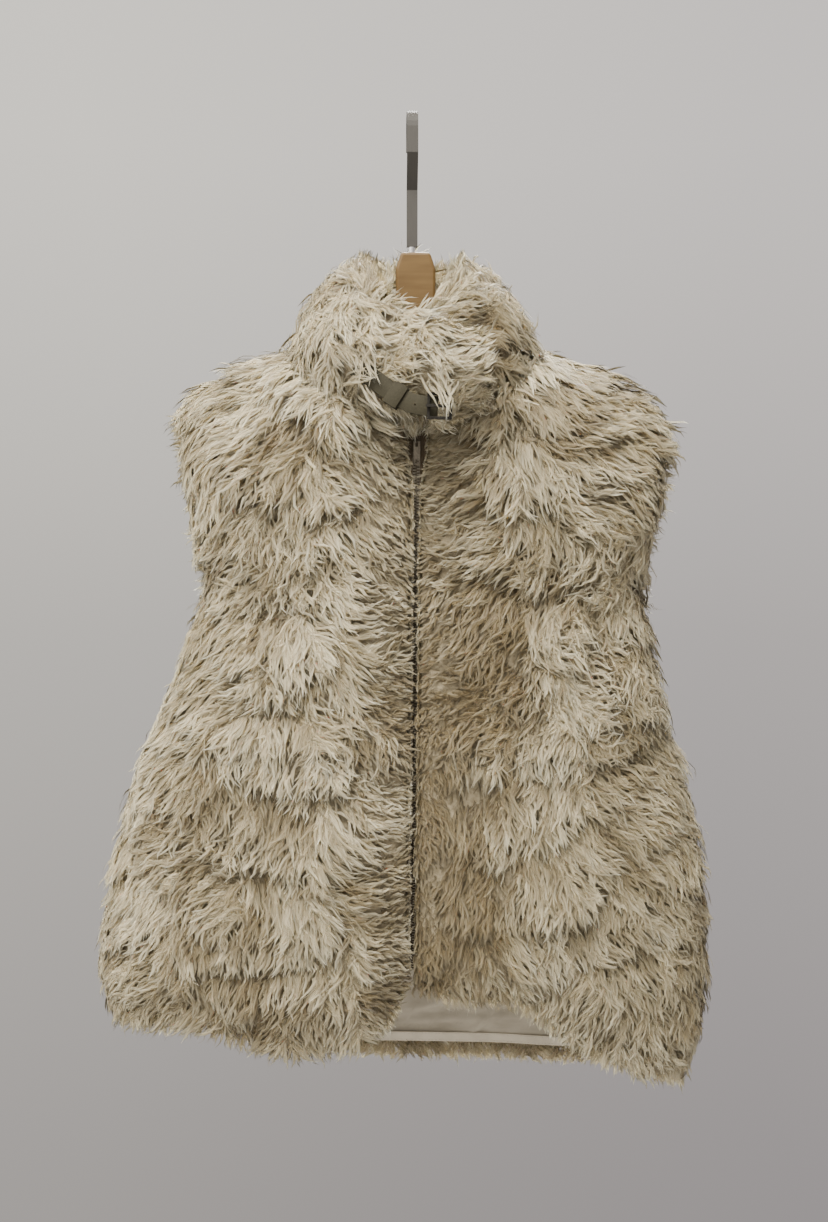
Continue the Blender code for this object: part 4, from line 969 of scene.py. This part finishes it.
def strand_ribbons(locks, panel, draw):
    """Points and normals of each strand, and the share of its lock's length that it has.

    A strand is a ribbon that ends in a point, and its normals lean to the puff's own, which shades
    the wool softly.
    """
    line, puff = locks.line, locks.puff
    count, rings = line.shape[:2]
    each = (count, panel.strands, 1)
    share = np.linspace(0.0, 1.0, rings)
    along = unit(np.gradient(line, axis=1))
    level = unit(np.cross(along, puff[:, None]))
    upright = np.cross(level, along)
    ends = draw.uniform(*STRAND_ENDS, each[:2])
    place = ends[:, :, None] * share * (rings - 1)
    low = np.clip(place.astype(int), 0, rings - 2)
    part = (place - low)[..., None]
    lock = np.arange(count)[:, None, None]
    centre = line[lock, low] * (1.0 - part) + line[lock, low + 1] * part
    level, upright = level[lock, low], upright[lock, low]

    turn = draw.uniform(0.0, FULL_TURN, each)
    out = np.sqrt(draw.random(each)) * 0.5 * panel.lock_width * locks.fullness[:, None, None]
    out = out * np.interp(share, *LOCK_TAPER)
    out[:, 0] = 0.0
    own = STRAND_WAVE * np.sin(FULL_TURN * STRAND_WAVES * share + draw.uniform(0.0, FULL_TURN, each))
    sink = body_and_strands(panel, BODY_SINK, 0.0)[:, None]
    centre = centre + level * (out * np.cos(turn) + own)[..., None]
    centre = centre + upright * (LOCK_FLAT * out * np.abs(np.sin(turn)) - sink)[..., None]

    twist = STRAND_TWIST * draw.normal(size=(*each, 1))
    across = level * np.cos(twist) + upright * np.sin(twist)
    width = body_and_strands(panel, BODY_SHARE * panel.lock_width, panel.strand_width)[:, None]
    half = 0.5 * width * draw.uniform(*STRAND_WIDTHS, each) * np.interp(share, *STRAND_TAPER)
    shift = across * half[..., None]

    leaning = LOCK_ROUND * np.cos(turn)
    leaning[:, 0] = 0.0
    soft = STRAND_SOFTNESS * puff[:, None, None] + (1.0 - STRAND_SOFTNESS) * upright
    soft = unit(soft + leaning[..., None] * level)
    bend = body_and_strands(panel, BODY_ROUND, STRAND_ROUND)[:, None, None] * across
    sides = np.stack((centre - shift, centre + shift), axis=3)[:, :, :-1]
    side_normals = np.stack((soft - bend, soft + bend), axis=3)[:, :, :-1]
    return end_in_point(sides, centre), unit(end_in_point(side_normals, soft)), ends


def strand_mesh(name, locks, panel, draw):
    """One mesh of all strands, with their UV map and their normals."""
    vertices, normals, ends = strand_ribbons(locks, panel, draw)
    count, each = vertices.shape[:2]
    rings = locks.line.shape[1]
    corner = []
    for ring in range(rings - 2):
        corner += [2 * ring, 2 * ring + 1, 2 * ring + 3, 2 * ring + 2]
    corner += [each - 3, each - 2, each - 1]
    sizes = np.tile([4] * (rings - 2) + [3], count)
    loops = ((np.arange(count) * each)[:, None] + np.array(corner)).ravel()
    mesh = bpy.data.meshes.new(name)
    mesh.vertices.add(count * each)
    mesh.vertices.foreach_set("co", vertices.astype(np.float32).ravel())
    mesh.loops.add(len(loops))
    mesh.loops.foreach_set("vertex_index", loops.astype(np.int32))
    mesh.polygons.add(len(sizes))
    mesh.polygons.foreach_set("loop_start", np.concatenate(([0], np.cumsum(sizes)[:-1])).astype(np.int32))
    mesh.update(calc_edges=True)
    mesh.shade_smooth()

    tint = locks.tint + LOCK_TINT * draw.normal(size=len(locks.tint))
    tint = np.clip(0.5 + tint[:, None] + STRAND_TINT * draw.normal(size=ends.shape), *MAP_TINTS)
    side = np.append(np.tile((-1.0, 1.0), rings - 1), 0.0)
    map_width = np.tile(body_and_strands(panel, BODY_MAP, STRAND_MAP), len(ends))[:, None]
    share = np.linspace(0.0, 1.0, rings)
    height = np.append(np.repeat(share[:-1], 2), share[-1])
    start = np.repeat(locks.start, panel.strands)[:, None]
    height = MAP_START + MAP_LENGTH * (start + (1.0 - start) * ends.reshape(count, 1) * height[corner])
    map_points = np.stack((tint.reshape(count, 1) + map_width * side[corner], height), axis=2)
    layer = mesh.uv_layers.new(name=WOOL_MAP)
    layer.uv.foreach_set("vector", map_points.astype(np.float32).ravel())
    mesh.normals_split_custom_set_from_vertices(normals.reshape(-1, 3))
    return mesh


# Panels

def link_object(name, data):
    piece = bpy.data.objects.new(name, data)
    bpy.context.scene.collection.objects.link(piece)
    return piece


def add_piece(mesh, material):
    piece = link_object(mesh.name, mesh)
    mesh.materials.append(material)
    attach(piece, "vest")
    return piece


def surface_mesh(name, points, faces):
    """Smooth mesh of the faces, with only the points that they use."""
    used, order = np.unique(faces, return_inverse=True)
    mesh = bpy.data.meshes.new(name)
    mesh.from_pydata([tuple(p) for p in points[used]], [],
                     [tuple(int(i) for i in f) for f in order.reshape(faces.shape)])
    mesh.update()
    mesh.shade_smooth()
    return mesh


def select_only(piece):
    bpy.ops.object.select_all(action="DESELECT")
    piece.select_set(True)
    bpy.context.view_layer.objects.active = piece


def apply_modifier(piece, kind, **settings):
    select_only(piece)
    modifier = piece.modifiers.new(kind.lower(), kind)
    for key, value in settings.items():
        setattr(modifier, key, value)
    bpy.ops.object.modifier_apply(modifier=modifier.name)
    piece.select_set(False)


def refine_hem(piece):
    """Cuts the faces that show under the front hems into smaller ones."""
    select_only(piece)
    bpy.context.tool_settings.mesh_select_mode = (False, False, True)
    bpy.ops.object.mode_set(mode="EDIT")
    bpy.ops.mesh.select_all(action="DESELECT")
    bpy.ops.object.mode_set(mode="OBJECT")
    for face in piece.data.polygons:
        face.select = face.center.z < FINE_LEATHER_TOP and abs(face.center.x) < FINE_LEATHER_HALF_WIDTH
    bpy.ops.object.mode_set(mode="EDIT")
    bpy.ops.mesh.subdivide(number_cuts=FINE_LEATHER_CUTS, smoothness=0.0)
    bpy.ops.object.mode_set(mode="OBJECT")
    piece.select_set(False)


def crease(piece, panel):
    """Moves the leather along its normals into soft ridges with a trough beside each."""
    mesh = piece.data
    count = len(mesh.vertices)
    points, normals = np.empty(3 * count), np.empty(3 * count)
    mesh.vertices.foreach_get("co", points)
    mesh.vertices.foreach_get("normal", normals)
    points, normals = points.reshape(-1, 3), normals.reshape(-1, 3)
    move = LEATHER_WAVE * ripple(points, LEATHER_WAVE_REACH, panel.seed + LEATHER_SEED)
    for x, z, length, width, turn, depth in CREASES.get(panel.node, ()):
        along, across = beside_line(points, x, z, turn)
        along, across = along / (LINE_ENDS * length), across / width
        ridge = np.exp(-across ** 2) - TROUGH_SHARE * np.exp(-(across + TROUGH_PLACE) ** 2)
        move += depth * np.exp(-along ** 2) * ridge
    mesh.vertices.foreach_set("co", (points + normals * move[:, None]).ravel())
    mesh.update()


def build_leather(panel, wall, material):
    mesh = surface_mesh(panel.node + "_leather", wall.points, wall.skin_faces)
    skin = add_piece(mesh, material)
    apply_modifier(skin, "SUBSURF", levels=1, render_levels=1)
    if panel.face == BACK:
        refine_hem(skin)
    crease(skin, panel)
    apply_modifier(skin, "SOLIDIFY", thickness=SKIN_THICKNESS, offset=-1.0)
    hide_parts(panel.node)
    return skin


def build_down(panel, wall, material):
    pulled = wall.points.copy()
    for index in np.flatnonzero(wall.outside):
        under = np.array(wall.skin_tree.find_nearest(Vector(pulled[index]))[0])
        pulled[index] = under + (pulled[index] - under) * DOWN_SHARE
    faces = np.concatenate((wall.wool_faces, wall.open_rims, wall.seam_rims))
    down = add_piece(surface_mesh(panel.node + "_down", pulled, faces), material)
    apply_modifier(down, "SUBSURF", levels=1, render_levels=1)
    return down


def build_locks(panel, wall, material):
    draw = np.random.default_rng(panel.seed)
    tips = lock_tips(panel, wall, draw)
    locks = lock_lines(panel, wall, tips, draw)
    places = tips.places
    if panel.node == "collar_left":
        shown = ~hides_strap(locks.line)
        locks = Locks(*(values[shown] for values in locks))
        places = places[shown]
    fleeces = []
    for number, group in enumerate(np.array_split(np.argsort(-places[:, 2]), panel.wool_pieces), start=1):
        chosen = Locks(*(values[group] for values in locks))
        mesh = strand_mesh(f"{panel.node}_wool_{number}", chosen, panel, draw)
        fleeces.append(add_piece(mesh, material))
    return fleeces


def build_panel(panel, others, wool, materials):
    wall = read_wall(panel, others)
    skin = build_leather(panel, wall, materials["cream_leather"])
    down = build_down(panel, wall, materials["shaded_wool_down"])
    fleeces = build_locks(panel, wall, wool)


# Zip, strap and stitches

def box_faces(count):
    """Faces of many boxes whose eight points follow each other, low ring and then high ring."""
    one = np.array([(0, 3, 2, 1), (4, 5, 6, 7), (0, 1, 5, 4), (1, 2, 6, 5), (2, 3, 7, 6), (3, 0, 4, 7)])
    return (np.arange(count)[:, None, None] * 8 + one[None]).reshape(-1, 4)


def build_teeth(metal):
    """Teeth along the zip chain that reach across from both sides in turn."""
    points, _ = read_node("zip_chain")
    levels = np.unique(np.round(points[:, 2], CHAIN_DIGITS))
    middles = np.array([points[np.abs(points[:, 2] - z) < CHAIN_LEVEL].mean(axis=0) for z in levels])
    heights = np.arange(levels[0] + TOOTH_HALF_HEIGHT, levels[-1] - TOOTH_HALF_HEIGHT, TEETH_PITCH)
    x = np.interp(heights, levels, middles[:, 0])
    y = np.interp(heights, levels, middles[:, 1])
    side = np.where(np.arange(len(heights)) % 2 == 0, -1.0, 1.0)
    corners = []
    for high in (-1.0, 1.0):
        for outer, deep in ((0, -1.0), (1, -1.0), (1, 1.0), (0, 1.0)):
            reach = TOOTH_REACH if outer else -TOOTH_CROSSING
            thin = 1.0 if outer else TOOTH_HEAD
            corners.append(np.stack((x + side * reach, y + deep * TOOTH_HALF_DEPTH * thin,
                                     heights + high * TOOTH_HALF_HEIGHT * thin), axis=1))
    vertices = np.stack(corners, axis=1)
    vertices[side < 0] = vertices[side < 0][:, [1, 0, 3, 2, 5, 4, 7, 6]]
    mesh = surface_mesh("zip_teeth", vertices.reshape(-1, 3), box_faces(len(heights)))
    mesh.shade_flat()
    teeth = add_piece(mesh, metal)
    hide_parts("zip_chain")


def add_box(name, size, centre):
    bpy.ops.mesh.primitive_cube_add(size=1.0, location=centre)
    box = bpy.context.object
    box.name = name
    box.scale = size
    bpy.ops.object.transform_apply(location=True, rotation=True, scale=True)
    return box


def round_edges(piece, width, segments, **settings):
    apply_modifier(piece, "BEVEL", width=width, segments=segments, limit_method="ANGLE", **settings)


def cut_away(piece, cutter):
    apply_modifier(piece, "BOOLEAN", object=cutter, operation="DIFFERENCE", solver="EXACT")
    bpy.data.objects.remove(cutter)


def join(pieces):
    bpy.ops.object.select_all(action="DESELECT")
    for piece in pieces:
        piece.select_set(True)
    bpy.context.view_layer.objects.active = pieces[0]
    bpy.ops.object.join()
    pieces[0].select_set(False)
    return pieces[0]


def finish_hard(piece, material, replaced, body="vest"):
    select_only(piece)
    bpy.ops.object.shade_smooth_by_angle(angle=SMOOTH_ANGLE)
    piece.select_set(False)
    piece.data.materials.clear()
    piece.data.materials.append(material)
    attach(piece, body)
    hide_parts(replaced)


def build_slider(metal):
    """Two plates that narrow downwards, the core between them and the bridge that holds the tab."""
    width, depth, height = SLIDER_SIZE
    x, y, z = SLIDER_CENTRE
    gap = depth - SLIDER_PLATE
    plates = []
    for name, place in (("slider_front", y - 0.5 * gap), ("slider_back", y + 0.5 * gap)):
        plate = add_box(name, (width, SLIDER_PLATE, height), (x, place, z))
        for vertex in plate.data.vertices:
            vertex.select = vertex.co.z < z
        bpy.ops.object.mode_set(mode="EDIT")
        bpy.ops.mesh.select_mode(type="VERT")
        bpy.ops.transform.resize(value=(SLIDER_WAIST, 1.0, 1.0), center_override=(x, place, z))
        bpy.ops.object.mode_set(mode="OBJECT")
        round_edges(plate, SLIDER_EDGE, ROUND_SEGMENTS)
        plates.append(plate)
    core_size = (CORE_WIDTH * width, gap, CORE_HEIGHT * height)
    core = add_box("slider_core", core_size, (x, y, z + CORE_RISE * height))
    round_edges(core, CORE_EDGE, PLAIN_SEGMENTS)
    bpy.ops.mesh.primitive_torus_add(
        major_radius=BRIDGE_RADIUS, minor_radius=BRIDGE_WIRE,
        major_segments=BRIDGE_SEGMENTS, minor_segments=WIRE_SEGMENTS,
        location=(x, TAB_HINGE[1] + BRIDGE_BEHIND, TAB_HINGE[2]), rotation=(0.0, 0.5 * math.pi, 0.0))
    bridge = bpy.context.object
    bpy.ops.object.transform_apply(location=True, rotation=True, scale=True)
    slider = join(plates + [core, bridge])
    slider.name = "slider"
    finish_hard(slider, metal, "zip_slider")


def build_tab(metal):
    """Flat pull tab with a slot for the bridge and a square window in its lower end."""
    _, depth, height = TAB_SIZE
    x, y, z = TAB_HINGE
    top = z + TAB_TOP
    tab = add_box("pull_tab_plate", TAB_SIZE, (x, y, top - 0.5 * height))
    round_edges(tab, TAB_EDGE, ROUND_SEGMENTS)
    slot_width, slot_height = TAB_SLOT
    slot_middle = z - TAB_SLOT_START - 0.5 * slot_height
    window_middle = top - height + TAB_WINDOW_MARGIN + 0.5 * TAB_WINDOW
    for name, wide, high, middle in (("slot_cutter", slot_width, slot_height, slot_middle),
                                     ("window_cutter", TAB_WINDOW, TAB_WINDOW, window_middle)):
        cut_away(tab, add_box(name, (wide, CUTTER_DEPTH * depth, high), (x, y, middle)))
    finish_hard(tab, metal, "zip_pull_tab", "pull_tab")


def punch_strap(strap):
    """Punches the hole through the strap."""
    points, faces = read_node("throat_strap")
    x, z = STRAP_HOLE
    front = tree_of(points, faces).ray_cast(Vector((x, STRAP_VIEWER, z)), INTO_SCENE)[0]
    bpy.ops.mesh.primitive_cylinder_add(
        vertices=STRAP_HOLE_SIDES, radius=STRAP_HOLE_RADIUS, depth=STRAP_HOLE_DEPTH, location=(x, front.y, z),
        rotation=(0.5 * math.pi, 0.0, 0.0))
    cutter = bpy.context.object
    bpy.ops.object.transform_apply(location=True, rotation=True, scale=True)
    cut_away(strap, cutter)


def build_strap(materials):
    """The strap, its keeper and its buckle, as copies of the CAD nodes with rounded edges."""
    for row in ROUNDED:
        piece = link_object(row.name, surface_mesh(row.name, *read_node(row.node)))
        round_edges(piece, row.edge, PLAIN_SEGMENTS, angle_limit=ROUNDED_ANGLE)
        if row.name == "strap":
            punch_strap(piece)
        finish_hard(piece, materials[row.finish], row.node)


def build_stitches(thread):
    """Two rows of stitches along the leather band inside the back hem."""
    points, faces = read_node("back_hem_facing")
    tree = tree_of(points, faces)
    (low_x, _, low_z), (high_x, _, high_z) = points.min(axis=0), points.max(axis=0)
    rows = ([], [])
    for x in np.arange(low_x + STITCH_ENDS, high_x - STITCH_ENDS, STITCH_PITCH):
        hits = [tree.ray_cast(Vector((x, STITCH_VIEWER, z)), INTO_SCENE)[0]
                for z in np.arange(low_z, high_z, STITCH_STEP)]
        found = [hit.z for hit in hits if hit is not None]
        if found:
            for row, z in zip(rows, (found[0] + STITCH_INSET, found[-1] - STITCH_INSET)):
                place, normal, _, _ = tree.ray_cast(Vector((x, STITCH_VIEWER, z)), INTO_SCENE)
                if place is not None:
                    row.append((tuple(place), tuple(normal)))
    vertices = []
    for row in rows:
        middles, facing = (np.array(values) for values in zip(*row))
        along = unit(np.gradient(middles, axis=0))
        up = np.cross(along, facing)
        corners = []
        for lift, size in STITCH_RINGS:
            for end, high in ((-1, -1), (1, -1), (1, 1), (-1, 1)):
                corners.append(middles + facing * lift * STITCH_THICKNESS
                               + along * end * size * 0.5 * STITCH_LENGTH
                               + up * high * size * 0.5 * STITCH_THICKNESS)
        vertices.append(np.stack(corners, axis=1).reshape(-1, 3))
    vertices = np.concatenate(vertices)
    add_piece(surface_mesh("hem_stitches", vertices, box_faces(len(vertices) // 8)), thread)


# Materials

def new_material(name):
    material = bpy.data.materials.new(name)
    material.use_nodes = True
    return material, material.node_tree.nodes, material.node_tree.links


def colour_ramp(nodes, links, source, stops):
    """The colour that the stops give to a value."""
    ramp = nodes.new("ShaderNodeValToRGB")
    elements = ramp.color_ramp.elements
    while len(elements) < len(stops):
        elements.new(0.5)
    for element, (position, colour) in zip(elements, stops):
        element.position = position
        element.color = (*colour, 1.0)
    links.new(source, ramp.inputs["Fac"])
    return ramp.outputs["Color"]


def multiply(nodes, links, first, second):
    """The product of two colours."""
    mix = nodes.new("ShaderNodeMix")
    mix.data_type = "RGBA"
    mix.blend_type = "MULTIPLY"
    mix.inputs["Factor"].default_value = 1.0
    links.new(first, mix.inputs["A"])
    links.new(second, mix.inputs["B"])
    return mix.outputs["Result"]


def stretched_noise(nodes, links, source, scale, detail):
    """Noise on coordinates that are scaled along their axes."""
    stretch = nodes.new("ShaderNodeMapping")
    stretch.inputs["Scale"].default_value = scale
    links.new(source, stretch.inputs["Vector"])
    noise = nodes.new("ShaderNodeTexNoise")
    noise.inputs["Scale"].default_value = 1.0
    noise.inputs["Detail"].default_value = detail
    links.new(stretch.outputs["Vector"], noise.inputs["Vector"])
    return noise.outputs["Fac"]


def wool_material():
    material, nodes, links = new_material("cream_wool")
    shader = nodes["Principled BSDF"]
    shader.subsurface_method = "BURLEY"
    for socket, value in WOOL_SHADING.items():
        shader.inputs[socket].default_value = value
    uv = nodes.new("ShaderNodeUVMap")
    uv.uv_map = WOOL_MAP
    split = nodes.new("ShaderNodeSeparateXYZ")
    links.new(uv.outputs["UV"], split.inputs["Vector"])
    along = colour_ramp(nodes, links, split.outputs["Y"], WOOL_ALONG)
    tint = colour_ramp(nodes, links, split.outputs["X"], WOOL_TINTS)
    noise = stretched_noise(nodes, links, uv.outputs["UV"], STREAK_SCALE, STREAK_DETAIL)
    streaks = colour_ramp(nodes, links, noise, WOOL_STREAKS)
    colour = multiply(nodes, links, multiply(nodes, links, along, tint), streaks)
    links.new(colour, shader.inputs["Base Color"])
    return material


def noise_material(name, finish):
    """Uneven colour between two tones on Object coordinates, with bump from the same noise."""
    material, nodes, links = new_material(name)
    shader = nodes["Principled BSDF"]
    shader.inputs["Roughness"].default_value = finish.roughness
    shader.inputs["Metallic"].default_value = finish.metallic
    shader.inputs["Specular IOR Level"].default_value = finish.shine
    coordinates = nodes.new("ShaderNodeTexCoord").outputs["Object"]
    scale = finish.scale if isinstance(finish.scale, tuple) else (finish.scale,) * 3
    noise = stretched_noise(nodes, links, coordinates, scale, NOISE_DETAIL)
    colour = colour_ramp(nodes, links, noise, tuple(zip(NOISE_STOPS, (finish.low, finish.high))))
    links.new(colour, shader.inputs["Base Color"])
    if finish.bump:
        relief = nodes.new("ShaderNodeBump")
        relief.inputs["Strength"].default_value = finish.bump
        relief.inputs["Distance"].default_value = finish.bump_distance
        links.new(noise, relief.inputs["Height"])
        links.new(relief.outputs["Normal"], shader.inputs["Normal"])
    return material


def dress(node, material):
    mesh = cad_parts[node].data
    mesh.materials.clear()
    mesh.materials.append(material)


# Stage

def aim(thing, place, target):
    thing.location = place
    thing.rotation_euler = (Vector(target) - Vector(place)).to_track_quat("-Z", "Y").to_euler()


def build_camera():
    camera = bpy.data.cameras.new("camera")
    camera.sensor_width = CAMERA_SENSOR
    camera.lens = CAMERA_LENS
    camera.clip_start = CAMERA_NEAR
    holder = link_object("camera", camera)
    aim(holder, CAMERA_PLACE, Vector(CAMERA_PLACE) + Vector(CAMERA_LOOK))
    bpy.context.scene.camera = holder


def build_lights():
    for row in LIGHTS:
        light = bpy.data.lights.new(row.name, "AREA")
        light.shape = "DISK"
        light.size = row.size
        light.energy = row.power
        light.color = row.colour
        aim(link_object(row.name, light), row.place, row.target)


def build_room():
    """Pale surroundings whose tone changes with the height and from left to right."""
    world = bpy.data.worlds.new("pale_room")
    bpy.context.scene.world = world
    world.use_nodes = True
    nodes, links = world.node_tree.nodes, world.node_tree.links
    coordinates = nodes.new("ShaderNodeTexCoord")
    split = nodes.new("ShaderNodeSeparateXYZ")
    links.new(coordinates.outputs["Generated"], split.inputs["Vector"])
    tones = []
    for axis, stops in ROOM_TONES:
        place = nodes.new("ShaderNodeMapRange")
        place.inputs["From Min"].default_value = -1.0
        links.new(split.outputs[axis], place.inputs["Value"])
        tones.append(colour_ramp(nodes, links, place.outputs["Result"], stops))
    links.new(multiply(nodes, links, *tones), nodes["Background"].inputs["Color"])


def build_floor(material):
    bpy.ops.mesh.primitive_circle_add(
        vertices=FLOOR_SIDES, radius=FLOOR_RADIUS, fill_type="NGON", location=FLOOR_PLACE)
    floor = bpy.context.object
    floor.name = "floor"
    floor.data.materials.append(material)


wool = wool_material()
materials = {name: noise_material(name, finish) for name, finish in FINISHES.items()}
everything = tree_of_all_nodes()
for panel in PANELS:
    build_panel(panel, everything, wool, materials)
for node, finish_name in DRESSED.items():
    dress(node, materials[finish_name])
build_teeth(materials["shaded_brass"])
build_slider(materials["shaded_brass"])
build_tab(materials["worn_brass"])
build_strap(materials)
build_stitches(materials["pale_thread"])
build_camera()
build_lights()
build_room()
build_floor(materials["pale_floor"])
